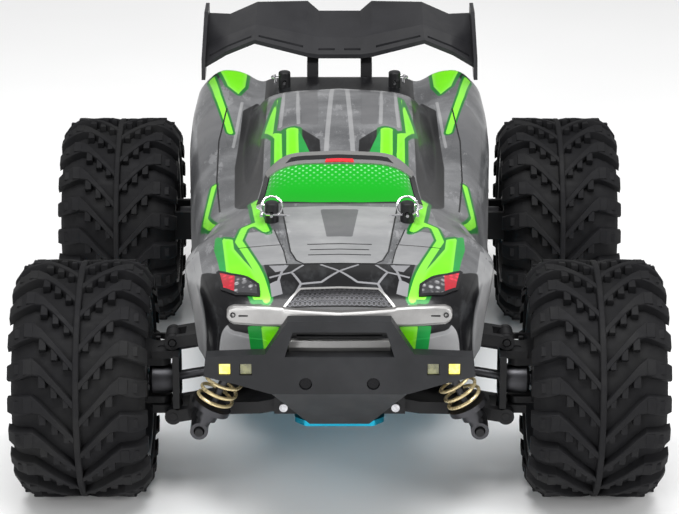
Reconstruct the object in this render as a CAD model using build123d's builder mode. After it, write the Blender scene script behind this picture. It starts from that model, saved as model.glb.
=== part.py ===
"""Remote-control monster truck, 1:16, four-wheel drive.

Millimetres. +Z up, the nose towards -Y, the truck's own left side towards +X.
The origin is on the ground, under the centre of the truck's bounding box.
"""

import os
from math import atan2, cos, degrees, hypot, pi, radians, sin, tan

from build123d import *

os.makedirs("parts", exist_ok=True)

# ---- driving dimensions -------------------------------------------------------------
WHEELBASE = 178.0
OVERALL_WIDTH = 233.0
TYRE_RADIUS = 43.0
TYRE_WIDTH = 50.0
RIM_RADIUS = 29.0
FRONT_AXLE_Y = -95.0
REAR_AXLE_Y = FRONT_AXLE_Y + WHEELBASE
AXLE_Y = {"front": FRONT_AXLE_Y, "rear": REAR_AXLE_Y}
AXLE_Z = TYRE_RADIUS
WHEEL_X = (OVERALL_WIDTH - TYRE_WIDTH) / 2
TYRE_INNER_X = WHEEL_X - TYRE_WIDTH / 2

# suspension: every link of a corner is the same vector, so the hub stays upright
LINK_REACH = 40.0
LINK_DROP = 7.0
LINK_LENGTH = hypot(LINK_REACH, LINK_DROP)
LOWER_PIVOT = (20.0, 38.0)
UPPER_PIVOT = (20.0, 65.0)
KINGPIN_X = 64.0
DRIVE_JOINT_X = KINGPIN_X - LINK_REACH
DRIVE_Z = AXLE_Z + LINK_DROP
CUP_RADIUS, CUP_BORE = 5.4, 4.6
PIN_RADIUS = 1.5
RUNNING_CLEARANCE = 0.1

# dampers, in a plane in front of the axle
DAMPER_Y = -18.5
DAMPER_TOP = (26.0, 80.0)
DAMPER_FOOT = (50.0, 31.0)
DAMPER_LENGTH = hypot(DAMPER_FOOT[0] - DAMPER_TOP[0], DAMPER_TOP[1] - DAMPER_FOOT[1])
SPRING_RADIUS = 6.2
SPRING_WIRE = 0.65

# steering
TIE_Y = 17.0
TIE_INNER = (26.0, 54.0)
TIE_OUTER = (66.5, 47.0)
HORN_PIVOT = (14.0, 30.5)
HORN_TOP_Z = 56.0

# chassis
PLATE_TOP = 35.5
PLATE_THICKNESS = 2.0
CASE_HALF_WIDTH = 17.0
CASE_HALF_LENGTH = 13.0
CASE_TOP = 62.0
CASE_WALL = 2.6
TOWER_Y = (-10.5, -7.5)

# gears
SPUR_TEETH, PINION_TEETH, SPUR_MODULE = 30, 12, 0.8
SPUR_CENTRES = SPUR_MODULE * (SPUR_TEETH + PINION_TEETH) / 2
SPUR_Y = 0.0
SPUR_WIDTH = 6.0
RING_TEETH, BEVEL_TEETH = 24, 12
RING_RADIUS = 9.0
BEVEL_RADIUS = RING_RADIUS * BEVEL_TEETH / RING_TEETH
BEVEL_INNER_SHARE = 0.68
SHAFT_RADIUS = 2.0

# body shell
SHELL_THICKNESS = 1.4
SHELL_NOSE_Y = FRONT_AXLE_Y - 45.0
POST_X = {"front": 24.5, "rear": 23.0}
POST_Y = {"front": 20.0, "rear": -2.0}
POST_HEAD_Z = {"front": 103.5, "rear": 107.5}
SHELL_AT_POST_Z = {"front": 97.2, "rear": 101.0}

SIDES = ("left", "right")
AXLES = ("front", "rear")


def place(shape, side, axle):
    """Moves a part drawn for the front left corner, about its axle, to another corner."""
    if axle == "rear":
        shape = shape.mirror(Plane.XZ)
    if side == "right":
        shape = shape.mirror(Plane.YZ)
    return shape.moved(Location((0, AXLE_Y[axle], 0)))


def save(shape, name):
    """Writes one node."""
    shape.label = name
    export_step(shape, f"parts/{name}.step")


def group(shapes, name):
    """Writes several separate solids as one node."""
    solids = [solid for shape in shapes for solid in shape.solids()]
    save(Compound(children=solids), name)


def link_plane(pivot):
    """The plane of a suspension link: origin at its inner pivot, X along the link, Y along the truck."""
    return Plane(
        origin=(pivot[0], 0, pivot[1]),
        x_dir=(LINK_REACH, 0, -LINK_DROP),
        z_dir=(LINK_DROP, 0, LINK_REACH),
    )


def rod_y(radius, x, z, y_from, y_to, mode=Mode.ADD):
    """A round bar along Y in the open BuildPart."""
    with Locations((x, (y_from + y_to) / 2, z)):
        Cylinder(radius, abs(y_to - y_from), rotation=(90, 0, 0), mode=mode)


def rod_x(radius, y, z, x_from, x_to, mode=Mode.ADD):
    """A round bar along X in the open BuildPart."""
    with Locations(((x_from + x_to) / 2, y, z)):
        Cylinder(radius, abs(x_to - x_from), rotation=(0, 90, 0), mode=mode)


def rod_z(radius, x, y, z_from, z_to, mode=Mode.ADD):
    """A round bar along Z in the open BuildPart."""
    with Locations((x, y, (z_from + z_to) / 2)):
        Cylinder(radius, abs(z_to - z_from), mode=mode)


def block(x, y, z, mode=Mode.ADD):
    """A box between two corners, each range given as (low, high), in the open BuildPart."""
    with Locations(((x[0] + x[1]) / 2, (y[0] + y[1]) / 2, (z[0] + z[1]) / 2)):
        Box(x[1] - x[0], y[1] - y[0], z[1] - z[0], mode=mode)


def mirrored_outline(half):
    """A closed outline, symmetric about its Y axis, from the points of its +X half, top to bottom."""
    return [*half, *[(-x, y) for x, y in reversed(half) if x]]


# ---- wheels ---------------------------------------------------------------------------
def tyre():
    """A balloon tyre: a hollow round carcass with shoulder lugs and centre bars."""
    half = TYRE_WIDTH / 2
    carcass = TYRE_RADIUS - 2.6
    with BuildPart() as part:
        with BuildSketch(Plane.XZ) as section:
            with BuildLine():
                Polyline(
                    (WHEEL_X - half + 4.05, RIM_RADIUS + 0.05),
                    (WHEEL_X - half + 4.05, RIM_RADIUS + 1.6),
                    (WHEEL_X - half + 2.7, RIM_RADIUS + 1.7),
                    (WHEEL_X - half + 1.2, RIM_RADIUS + 5),
                    (WHEEL_X - half + 1.5, carcass - 5.5),
                    (WHEEL_X - half + 7, carcass - 1),
                    (WHEEL_X - 8, carcass),
                    (WHEEL_X + 8, carcass),
                    (WHEEL_X + half - 7, carcass - 1),
                    (WHEEL_X + half - 1.5, carcass - 5.5),
                    (WHEEL_X + half - 1.2, RIM_RADIUS + 5),
                    (WHEEL_X + half - 2.7, RIM_RADIUS + 1.7),
                    (WHEEL_X + half - 4.05, RIM_RADIUS + 1.6),
                    (WHEEL_X + half - 4.05, RIM_RADIUS + 0.05),
                    (WHEEL_X + half - 7, RIM_RADIUS + 0.05),
                    (WHEEL_X + half - 5, RIM_RADIUS + 5),
                    (WHEEL_X + half - 6, carcass - 7),
                    (WHEEL_X - half + 6, carcass - 7),
                    (WHEEL_X - half + 5, RIM_RADIUS + 5),
                    (WHEEL_X - half + 7, RIM_RADIUS + 0.05),
                    close=True,
                )
            make_face()
        revolve(axis=Axis.X)
        lugs = 18
        for side in (-1, 1):
            turn = 0 if side > 0 else 180 / lugs
            with Locations(Location((WHEEL_X, 0, 0), (0, 90, 0))):
                with PolarLocations(carcass - 1.6, lugs, start_angle=turn):
                    with Locations((0, 0, side * (half - 11))):
                        Box(8.4, 5.2, 22, rotation=(side * 24, 0, 0))
        with Locations(Location((WHEEL_X, 0, 0), (0, 90, 0))):
            Cylinder(TYRE_RADIUS + 10, TYRE_WIDTH, mode=Mode.INTERSECT)
            Cylinder(TYRE_RADIUS, TYRE_WIDTH, mode=Mode.INTERSECT)
            Cylinder(carcass - 8, TYRE_WIDTH - 15, mode=Mode.SUBTRACT)
    return part.part.moved(Location((0, 0, AXLE_Z)))


def rim():
    """A deep rim with six spokes, its stub axle with the drive cup and hexagon, and the wheel nut."""
    inner_x, outer_x = TYRE_INNER_X + 4, WHEEL_X + TYRE_WIDTH / 2 - 4
    disc_x = 80.0
    with BuildPart() as rim_part:
        with BuildSketch(Plane.XZ):
            with BuildLine():
                Polyline(
                    (inner_x, RIM_RADIUS + 1.5),
                    (inner_x, RIM_RADIUS),
                    (inner_x + 2.5, RIM_RADIUS - 1.4),
                    (outer_x - 2.5, RIM_RADIUS - 1.4),
                    (outer_x, RIM_RADIUS),
                    (outer_x, RIM_RADIUS + 1.5),
                    (outer_x + 1.2, RIM_RADIUS + 1.5),
                    (outer_x + 1.2, RIM_RADIUS - 1.5),
                    (outer_x - 1.8, RIM_RADIUS - 3),
                    (inner_x + 1.8, RIM_RADIUS - 3),
                    (inner_x - 1.2, RIM_RADIUS - 1.5),
                    (inner_x - 1.2, RIM_RADIUS + 1.5),
                    close=True,
                )
            make_face()
        revolve(axis=Axis.X)
        with BuildSketch(Plane.YZ.offset(disc_x)):
            Circle(RIM_RADIUS - 2.5)
            Circle(2.5, mode=Mode.SUBTRACT)
            with PolarLocations(16.5, 6):
                RegularPolygon(6.6, 3, mode=Mode.SUBTRACT)
        extrude(amount=3.5)
    with BuildPart() as axle:
        rod_x(CUP_RADIUS, 0, 0, KINGPIN_X - 5, 68.5)
        rod_x(CUP_BORE, 0, 0, KINGPIN_X - 5, 67.5, mode=Mode.SUBTRACT)
        rod_x(2.5, 0, 0, 68.5, 92)
        with BuildSketch(Plane.YZ.offset(75)):
            RegularPolygon(6.9, 6)
            Circle(2.4, mode=Mode.SUBTRACT)
        extrude(amount=5)
    with BuildPart() as nut:
        with BuildSketch(Plane.YZ.offset(83.5)):
            RegularPolygon(4.6, 6)
            Circle(2.5, mode=Mode.SUBTRACT)
        extrude(amount=4)
        with BuildSketch(Plane.YZ.offset(83.5)):
            Circle(6)
            Circle(2.5, mode=Mode.SUBTRACT)
        extrude(amount=0.8)
    up = Location((0, 0, AXLE_Z))
    return [piece.part.moved(up) for piece in (rim_part, axle, nut)]


# ---- suspension links -----------------------------------------------------------------
def lower_arm():
    """A moulded wishbone with its damper stud and the fork for the hub carrier."""
    pivot_radius = 3.0
    foot_x, foot_z = LOWER_PIVOT[0] + LINK_REACH, LOWER_PIVOT[1] - LINK_DROP
    with BuildPart() as part:
        with BuildSketch(link_plane(LOWER_PIVOT)):
            with BuildLine():
                Polyline(
                    (0, -12.2),
                    (9, -12.2),
                    (25, -6.5),
                    (35, -8),
                    (LINK_LENGTH, -8),
                    (LINK_LENGTH, 8),
                    (34, 8),
                    (24, 8.5),
                    (9, 12.2),
                    (0, 12.2),
                    close=True,
                )
            make_face()
            with BuildLine():
                Polyline((7, -7.5), (13, -7), (23, -3), (23, 4), (13, 7), (7, 7.5), close=True)
            make_face(mode=Mode.SUBTRACT)
        extrude(amount=2.3, both=True)
        with BuildSketch(link_plane(LOWER_PIVOT)):
            with Locations((15, 0)):
                Rectangle(22, 17)
        extrude(amount=0.7, both=True)
        rod_y(2.9, *LOWER_PIVOT, -12.2, 12.2)
        rod_y(pivot_radius, foot_x, foot_z, -8, 8)
        rod_y(3.2, *DAMPER_FOOT, -15.5, -2)
        rod_y(PIN_RADIUS, *DAMPER_FOOT, -22.5, -2)
        block((54.4, 66), (-4.9, 4.9), (24, 42), mode=Mode.SUBTRACT)
        rod_y(PIN_RADIUS + RUNNING_CLEARANCE, *LOWER_PIVOT, -14, 14, mode=Mode.SUBTRACT)
        rod_y(PIN_RADIUS + RUNNING_CLEARANCE, foot_x, foot_z, -9, 9, mode=Mode.SUBTRACT)
    return part.part


def upper_arm():
    """The upper link, forked over the hub carrier's upper trunnion with clearance."""
    foot_x, foot_z = UPPER_PIVOT[0] + LINK_REACH, UPPER_PIVOT[1] - LINK_DROP
    with BuildPart() as part:
        with BuildSketch(link_plane(UPPER_PIVOT)):
            with BuildLine():
                Polyline(
                    (0, -3.8),
                    (LINK_LENGTH, -3.8),
                    (LINK_LENGTH, 7.8),
                    (0, 7.8),
                    close=True,
                )
            make_face()
            with BuildLine():
                Polyline((6, -0.6), (31, -0.6), (31, 4.6), (6, 4.6), close=True)
            make_face(mode=Mode.SUBTRACT)
        extrude(amount=2.1, both=True)
        rod_y(2.8, *UPPER_PIVOT, -3.8, 7.8)
        rod_y(2.8, foot_x, foot_z, -3.8, 7.8)
        block((55.2, 66), (-1.4, 5.4), (52, 66), mode=Mode.SUBTRACT)
        rod_y(PIN_RADIUS + RUNNING_CLEARANCE, *UPPER_PIVOT, -5, 9, mode=Mode.SUBTRACT)
        rod_y(1.6, foot_x, foot_z, -5, 9, mode=Mode.SUBTRACT)
    return part.part


def hub_frame():
    """The upright frame between the two arms, with a trunnion for each, in the open BuildPart."""
    lower_x, lower_z = LOWER_PIVOT[0] + LINK_REACH, LOWER_PIVOT[1] - LINK_DROP
    upper_x, upper_z = UPPER_PIVOT[0] + LINK_REACH, UPPER_PIVOT[1] - LINK_DROP
    block((57.5, 59.8), (-9.4, 9.4), (34.8, 55))
    block((57, 60.5), (-7.2, 7.2), (37.2, 52.2), mode=Mode.SUBTRACT)
    block((57.5, 61.5), (-4.2, 4.2), (31, 37.2))
    rod_y(2.9, lower_x, lower_z, -4.5, 4.5)
    rod_y(PIN_RADIUS, lower_x, lower_z, -8, 8)
    block((57.5, 62), (-1, 5), (54, 57))
    rod_y(2.8, upper_x, upper_z, -1, 5)
    rod_y(1.2, upper_x, upper_z, -4, 8)


def front_hub_carrier():
    """The front C-shaped carrier, with an ear above and below for the knuckle's kingpin."""
    with BuildPart() as part:
        hub_frame()
        block((57.5, 67.5), (-4.2, 4.2), (31, 34))
        block((57.5, 67.5), (-4.2, 4.2), (52.2, 55))
        block((60.6, 68), (-4.2, 4.2), (34, 52.2), mode=Mode.SUBTRACT)
        rod_z(PIN_RADIUS + RUNNING_CLEARANCE, KINGPIN_X, 0, 30, 56, mode=Mode.SUBTRACT)
    return part.part


def rear_hub_carrier():
    """The rear carrier: the same frame with the wheel bearing's seat built on."""
    with BuildPart() as part:
        hub_frame()
        for side in (-1, 1):
            block((57.5, 71), sorted((side * 7.2, side * 9.4)), (37, 49))
        rod_x(9.6, 0, AXLE_Z, 69, 74)
        rod_x(2.6, 0, AXLE_Z, 68, 75, mode=Mode.SUBTRACT)
        rod_x(5.8, 0, AXLE_Z, 56, 69.2, mode=Mode.SUBTRACT)
    return part.part


def knuckle():
    """The steering knuckle: bearing seat, kingpin trunnions and a slotted steering arm."""
    with BuildPart() as part:
        rod_x(8.8, 0, AXLE_Z, 69.2, 74)
        for z_from, z_to, pin_z in ((34.4, 37.0, 31.3), (49.0, 51.8, 54.7)):
            rod_z(3.2, KINGPIN_X, 0, z_from, z_to)
            block((KINGPIN_X, 71), (-3.2, 3.2), (z_from, z_to))
            rod_z(PIN_RADIUS, KINGPIN_X, 0, (z_from + z_to) / 2, pin_z)
        rod_x(2.6, 0, AXLE_Z, 68, 75, mode=Mode.SUBTRACT)
        with BuildSketch(Plane.XY.offset(49.6)):
            with BuildLine():
                Polyline(
                    (65.5, 2),
                    (71.5, 2),
                    (71.5, 12),
                    (70.4, 22.7),
                    (61.4, 22.7),
                    (61.4, 15),
                    (65.5, 11),
                    close=True,
                )
            make_face()
            with Locations((65.9, 18.3)):
                Circle(3.4, mode=Mode.SUBTRACT)
        extrude(amount=2.2)
    return part.part


def drive_shaft():
    """A dog-bone drive shaft with a ball and a cross pin at each end."""
    inner = Plane(
        origin=(DRIVE_JOINT_X, 0, DRIVE_Z), x_dir=(0, 1, 0), z_dir=(LINK_REACH, 0, -LINK_DROP)
    )
    with BuildPart() as part:
        with BuildSketch(inner):
            Circle(1.75)
        extrude(amount=LINK_LENGTH)
        for x, z in ((DRIVE_JOINT_X, DRIVE_Z), (KINGPIN_X, AXLE_Z)):
            with Locations((x, 0, z)):
                Sphere(2.2)
            rod_y(0.8, x, z, -2.8, 2.8)
    return part.part


# ---- dampers ----------------------------------------------------------------------------
DAMPER_AXIS = Plane(
    origin=(DAMPER_TOP[0], DAMPER_Y, DAMPER_TOP[1]),
    x_dir=(0, 1, 0),
    z_dir=(DAMPER_FOOT[0] - DAMPER_TOP[0], 0, DAMPER_FOOT[1] - DAMPER_TOP[1]),
)
EYE_HALF_WIDTH = 2.5
SPRING_FROM, SPRING_TO = 10.2, 43.4


def damper_tube(radius, start, end, mode=Mode.ADD):
    """A round length of the damper, between two distances from its top eye."""
    with BuildSketch(DAMPER_AXIS.offset(start)) as section:
        Circle(radius)
    extrude(section.sketch, amount=end - start, mode=mode)


def damper_cylinder():
    """The damper's body with its top eye, threaded collar and open lower end."""
    with BuildPart() as part:
        rod_y(3.2, *DAMPER_TOP, DAMPER_Y - EYE_HALF_WIDTH, DAMPER_Y + EYE_HALF_WIDTH)
        damper_tube(2.8, 0, 5)
        damper_tube(6.0, 4.5, 8)
        damper_tube(7.2, 8, 10)
        damper_tube(5.0, 8, 30)
        damper_tube(PIN_RADIUS + RUNNING_CLEARANCE, 12, 31, mode=Mode.SUBTRACT)
        rod_y(1.6, *DAMPER_TOP, DAMPER_Y - 4, DAMPER_Y + 4, mode=Mode.SUBTRACT)
    return part.part


def damper_rod():
    """The damper's rod with the spring cup and the lower eye."""
    with BuildPart() as part:
        damper_tube(PIN_RADIUS, 22, DAMPER_LENGTH - 1)
        damper_tube(7.2, SPRING_TO + 0.2, SPRING_TO + 2.2)
        damper_tube(4.0, SPRING_TO + 2.2, SPRING_TO + 6)
        damper_tube(2.6, SPRING_TO + 6, DAMPER_LENGTH)
        rod_y(3.2, *DAMPER_FOOT, DAMPER_Y - EYE_HALF_WIDTH, DAMPER_Y + EYE_HALF_WIDTH)
        rod_y(1.95, *DAMPER_FOOT, DAMPER_Y - 4, DAMPER_Y + 4, mode=Mode.SUBTRACT)
    return part.part


def damper_spring():
    """The coil spring round the damper."""
    turns = 7
    height = SPRING_TO - SPRING_FROM - 2 * SPRING_WIRE
    with BuildPart() as part:
        with BuildLine() as path:
            Helix(pitch=height / turns, height=height, radius=SPRING_RADIUS)
        with BuildSketch(Plane(origin=path.line @ 0, z_dir=path.line % 0)):
            Circle(SPRING_WIRE)
        sweep()
    return part.part.moved(DAMPER_AXIS.offset(SPRING_FROM + SPRING_WIRE).location)


# ---- drive train ------------------------------------------------------------------------
PRESSURE_ANGLE = radians(25)
GEAR_BACKLASH = 0.16


def gear_outline(module, teeth, first_angle):
    """The points of an involute spur gear's outline, with one tooth centred on first_angle."""
    pitch_radius = module * teeth / 2
    base = pitch_radius * cos(PRESSURE_ANGLE)
    tip = pitch_radius + 0.8 * module
    root = pitch_radius - 1.15 * module
    half_tooth = (pi * module / 2 - GEAR_BACKLASH) / (2 * pitch_radius)
    involute = tan(PRESSURE_ANGLE) - PRESSURE_ANGLE
    steps = 4
    flank = [(root, half_tooth + involute)]
    for i in range(steps + 1):
        radius = base + (tip - base) * i / steps
        roll = (max((radius / base) ** 2 - 1, 0)) ** 0.5
        flank.append((radius, half_tooth + involute - (roll - atan2(roll, 1))))
    points = []
    for tooth in range(teeth):
        middle = first_angle + 2 * pi * tooth / teeth
        for radius, angle in flank:
            points.append((radius * cos(middle - angle), radius * sin(middle - angle)))
        for radius, angle in reversed(flank):
            points.append((radius * cos(middle + angle), radius * sin(middle + angle)))
    return points


def spur_gear(module, teeth, width, first_angle=0.0):
    """A spur gear along +Y from the origin, in the open BuildPart."""
    with BuildSketch(Plane(origin=(0, 0, 0), x_dir=(1, 0, 0), z_dir=(0, 1, 0))) as outline:
        with BuildLine():
            Polyline(*gear_outline(module, teeth, first_angle), close=True)
        make_face()
    extrude(outline.sketch, amount=width)


def bevel_gear(teeth, radius, height, first_angle=0.0):
    """A straight bevel gear about Z, its apex at the origin and its big end at z = height."""
    slant = hypot(radius, height)
    addendum, dedendum = 0.5, 0.85
    thickness = 0.4 * 2 * pi * radius / teeth
    flare = tan(radians(20))
    sunk = dedendum + 0.35
    along = (radius / slant, height / slant)
    outward = (height / slant, -radius / slant)
    root = (radius - outward[0] * dedendum, height - outward[1] * dedendum)
    with BuildPart() as part:
        with BuildSketch(Plane.XZ):
            with BuildLine():
                Polyline(
                    (0, height * BEVEL_INNER_SHARE),
                    (root[0] * BEVEL_INNER_SHARE, root[1] * BEVEL_INNER_SHARE),
                    root,
                    (root[0], root[1] + 0.8),
                    (0, root[1] + 0.8),
                    close=True,
                )
            make_face()
        revolve(axis=Axis.Z)
    body = part.part
    with BuildPart() as tooth:
        for share in (1.0, BEVEL_INNER_SHARE):
            plane = Plane(
                origin=(radius * share, 0, height * share),
                x_dir=(0, 1, 0),
                z_dir=(along[0], 0, along[1]),
            )
            # the plane's own Y points along the tooth's height, outward or inward
            up = 1 if plane.y_dir.dot(Vector(outward[0], 0, outward[1])) > 0 else -1
            with BuildSketch(plane):
                with BuildLine():
                    Polyline(
                        (-(thickness / 2 + sunk * flare) * share, -up * sunk * share),
                        (-(thickness / 2 - addendum * flare) * share, up * addendum * share),
                        ((thickness / 2 - addendum * flare) * share, up * addendum * share),
                        ((thickness / 2 + sunk * flare) * share, -up * sunk * share),
                        close=True,
                    )
                make_face()
        loft(ruled=True)
    with BuildPart() as gear:
        add(body)
        for i in range(teeth):
            add(tooth.part.rotate(Axis.Z, degrees(first_angle) + 360 * i / teeth))
    return gear.part


def differential(ring_side):
    """A crown gear on its cage with a drive cup each side. ring_side is -1 or 1 along X."""
    ring = bevel_gear(RING_TEETH, RING_RADIUS, BEVEL_RADIUS, first_angle=pi / RING_TEETH)
    ring = ring.rotate(Axis.Y, 90 * ring_side)
    with BuildPart() as part:
        add(ring)
        rod_x(3.0, 0, 0, -17.5, 17.5)
        for side in (-1, 1):
            rod_x(CUP_RADIUS, 0, 0, side * 17.2, side * 28)
            rod_x(CUP_BORE, 0, 0, side * 18.2, side * 29, mode=Mode.SUBTRACT)
    return part.part.moved(Location((0, 0, DRIVE_Z)))


def centre_shaft():
    """The centre shaft with the spur gear and a bevel pinion at each end."""
    # a tooth gap of the crown gear faces each pinion, and a pinion tooth sits in it
    pinion = bevel_gear(BEVEL_TEETH, BEVEL_RADIUS, RING_RADIUS)
    front = pinion.rotate(Axis.X, -90).moved(Location((0, FRONT_AXLE_Y, DRIVE_Z)))
    rear = pinion.rotate(Axis.X, 90).moved(Location((0, REAR_AXLE_Y, DRIVE_Z)))
    with BuildPart() as shaft:
        rod_y(SHAFT_RADIUS, 0, DRIVE_Z, FRONT_AXLE_Y + RING_RADIUS, REAR_AXLE_Y - RING_RADIUS)
        add(front)
        add(rear)
        rod_y(5, 0, DRIVE_Z, SPUR_Y - 2, SPUR_Y)
    with BuildPart() as spur:
        spur_gear(SPUR_MODULE, SPUR_TEETH, SPUR_WIDTH)
        with Locations((0, SPUR_WIDTH / 2, 0)):
            Cylinder(SHAFT_RADIUS, SPUR_WIDTH + 2, rotation=(90, 0, 0), mode=Mode.SUBTRACT)
        for i in range(6):
            with Locations((7.6 * cos(i * pi / 3), SPUR_WIDTH / 2, 7.6 * sin(i * pi / 3))):
                Cylinder(2.2, SPUR_WIDTH + 2, rotation=(90, 0, 0), mode=Mode.SUBTRACT)
    return [shaft.part, spur.part.moved(Location((0, SPUR_Y, DRIVE_Z)))]


def motor_pinion():
    """The pinion on the motor's output shaft."""
    with BuildPart() as part:
        spur_gear(SPUR_MODULE, PINION_TEETH, SPUR_WIDTH, first_angle=pi + pi / PINION_TEETH)
        with Locations((0, -2, 0)):
            Cylinder(1.6, 8, rotation=(90, 0, 0))
    return part.part.moved(Location((SPUR_CENTRES, SPUR_Y, DRIVE_Z)))


def motor():
    """The brushed motor's can with its front plate and bracket to the chassis."""
    can_radius, back, front = 13.5, SPUR_Y - 46, SPUR_Y - 8
    with BuildPart() as can:
        rod_y(can_radius, SPUR_CENTRES, DRIVE_Z, back, front)
        rod_y(4.5, SPUR_CENTRES, DRIVE_Z, back - 1.5, back)
        fillet(can.edges().filter_by(GeomType.CIRCLE).sort_by(Axis.Y)[2:4], 0.8)
    with BuildPart() as bracket:
        block((-6, 32), (front, front + 3), (PLATE_TOP, 66))
        block((-6, 32), (front - 6, front), (PLATE_TOP, 36.3))
        rod_y(SHAFT_RADIUS + 0.5, 0, DRIVE_Z, front - 1, front + 4, mode=Mode.SUBTRACT)
        rod_y(3.0, SPUR_CENTRES, DRIVE_Z, front - 1, front + 4, mode=Mode.SUBTRACT)
        chamfer(bracket.edges().filter_by(Axis.Y).group_by(Axis.Z)[-1], 8)
    with BuildPart() as seat:
        add(bracket.part)
        rod_y(can_radius + 0.05, SPUR_CENTRES, DRIVE_Z, back, front, mode=Mode.SUBTRACT)
    return [can.part, seat.part]


# ---- chassis ----------------------------------------------------------------------------
def chassis_plate():
    """The aluminium floor plate, waisted behind the wheels, with folded side walls."""
    half = [(0, -117), (12, -117), (16, -113), (16, -78), (23, -72), (23, -66), (36, -56),
            (47, -48), (47, 48), (36, 58), (23, 62), (16, 66), (16, 101), (13, 104), (0, 104)]
    with BuildPart() as part:
        with BuildSketch(Plane.XY.offset(PLATE_TOP - PLATE_THICKNESS)):
            with BuildLine():
                Polyline(*mirrored_outline(half), close=True)
            make_face()
        extrude(amount=PLATE_THICKNESS)
        fillet(part.edges().filter_by(Axis.Z), 2.5)
        for side in (-1, 1):
            block(sorted((side * 45.4, side * 47)), (-46, 46), (PLATE_TOP - 0.5, PLATE_TOP + 9))
        with Locations((0, 0, PLATE_TOP)):
            with GridLocations(20, WHEELBASE + 12, 2, 2):
                Hole(1.6)
        for side in (-1, 1):
            for y in (-(WHEELBASE + 12) / 2, (WHEELBASE + 12) / 2):
                rod_z(2.8, side * 10, y, PLATE_TOP - PLATE_THICKNESS - 0.5,
                      PLATE_TOP - PLATE_THICKNESS + 1.1, mode=Mode.SUBTRACT)
    return part.part


def gearbox():
    """A gearbox case about its axle: hollow, with lugs for the hinge pins of both arms."""
    cavity_x, cavity_y = CASE_HALF_WIDTH - CASE_WALL, CASE_HALF_LENGTH - CASE_WALL
    with BuildPart() as part:
        block((-CASE_HALF_WIDTH, CASE_HALF_WIDTH), (-CASE_HALF_LENGTH, CASE_HALF_LENGTH),
              (PLATE_TOP, CASE_TOP))
        chamfer(part.edges().filter_by(Axis.Y).group_by(Axis.Z)[-1], 3)
        for y_from, y_to in ((-15.5, -12.6), (12.6, 15.5)):
            block((-23.4, 23.4), (y_from, y_to), (PLATE_TOP, 41.6))
        for y_from, y_to in ((-6.2, -4.1), (8.1, 10.2)):
            block((-23.2, 23.2), (y_from, y_to), (59, 68.4))
        block((-cavity_x, cavity_x), (-cavity_y, cavity_y), (38.5, 60.8), mode=Mode.SUBTRACT)
        rod_x(3.1, 0, DRIVE_Z, -20, 20, mode=Mode.SUBTRACT)
        rod_y(SHAFT_RADIUS + RUNNING_CLEARANCE, 0, DRIVE_Z, 0, 16, mode=Mode.SUBTRACT)
        for side in (-1, 1):
            rod_y(PIN_RADIUS, side * LOWER_PIVOT[0], LOWER_PIVOT[1], -17, 17, mode=Mode.SUBTRACT)
            rod_y(PIN_RADIUS, side * UPPER_PIVOT[0], UPPER_PIVOT[1], -8, 12, mode=Mode.SUBTRACT)
    return part.part


def hinge_pins():
    """The four steel hinge pins of one axle, drawn about it."""
    pins = []
    for side in (-1, 1):
        for (x, z), y_from, y_to in ((LOWER_PIVOT, -16.4, 16.4), (UPPER_PIVOT, -7, 11)):
            with BuildPart() as pin:
                rod_y(PIN_RADIUS, side * x, z, y_from, y_to)
            pins.append(pin.part)
    return pins


def shock_tower(axle):
    """The plate that carries the damper studs and the sleeves of the two body posts."""
    half = [(0, 79), (13, 79), (20, 86), (31, 86), (31, 75), (21, 71), (14, CASE_TOP), (0, CASE_TOP)]
    post_x, post_y = POST_X[axle], POST_Y[axle]
    with BuildPart() as part:
        with BuildSketch(Plane.XZ.offset(-TOWER_Y[1])):
            with BuildLine():
                Polyline(*mirrored_outline(half), close=True)
            make_face()
        extrude(amount=TOWER_Y[1] - TOWER_Y[0])
        block((-13, 13), (TOWER_Y[0], -6.3), (CASE_TOP, CASE_TOP + 2.5))
        block((-10, 10), (-12, -6), (66, 75), mode=Mode.SUBTRACT)
        for side in (-1, 1):
            rod_y(PIN_RADIUS, side * DAMPER_TOP[0], DAMPER_TOP[1], -22.5, -8)
            rod_y(2.6, side * DAMPER_TOP[0], DAMPER_TOP[1], -15.6, -8)
            block(sorted((side * (post_x - 4), side * (post_x + 4))), (-8, post_y + 2), (72, 76))
            rod_z(4, side * post_x, post_y, 72, 90)
            rod_z(2.6, side * post_x, post_y, 73, 91, mode=Mode.SUBTRACT)
    return part.part


def wing_stays():
    """The two stays that carry the wing, on the back of the rear tower."""
    stays = []
    for x in (-11.4, 11.4):
        with BuildPart() as stay:
            with BuildSketch(Plane.YZ.offset(x - 2.4)):
                with BuildLine():
                    Polyline(
                        (93, 65), (97, 65), (107.5, 86), (110, 103), (126, 107.5),
                        (126, 109.2), (104, 105), (102.6, 88), (93, 77), close=True,
                    )
                make_face()
            extrude(amount=4.8)
        stays.append(stay.part)
    return stays


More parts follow.
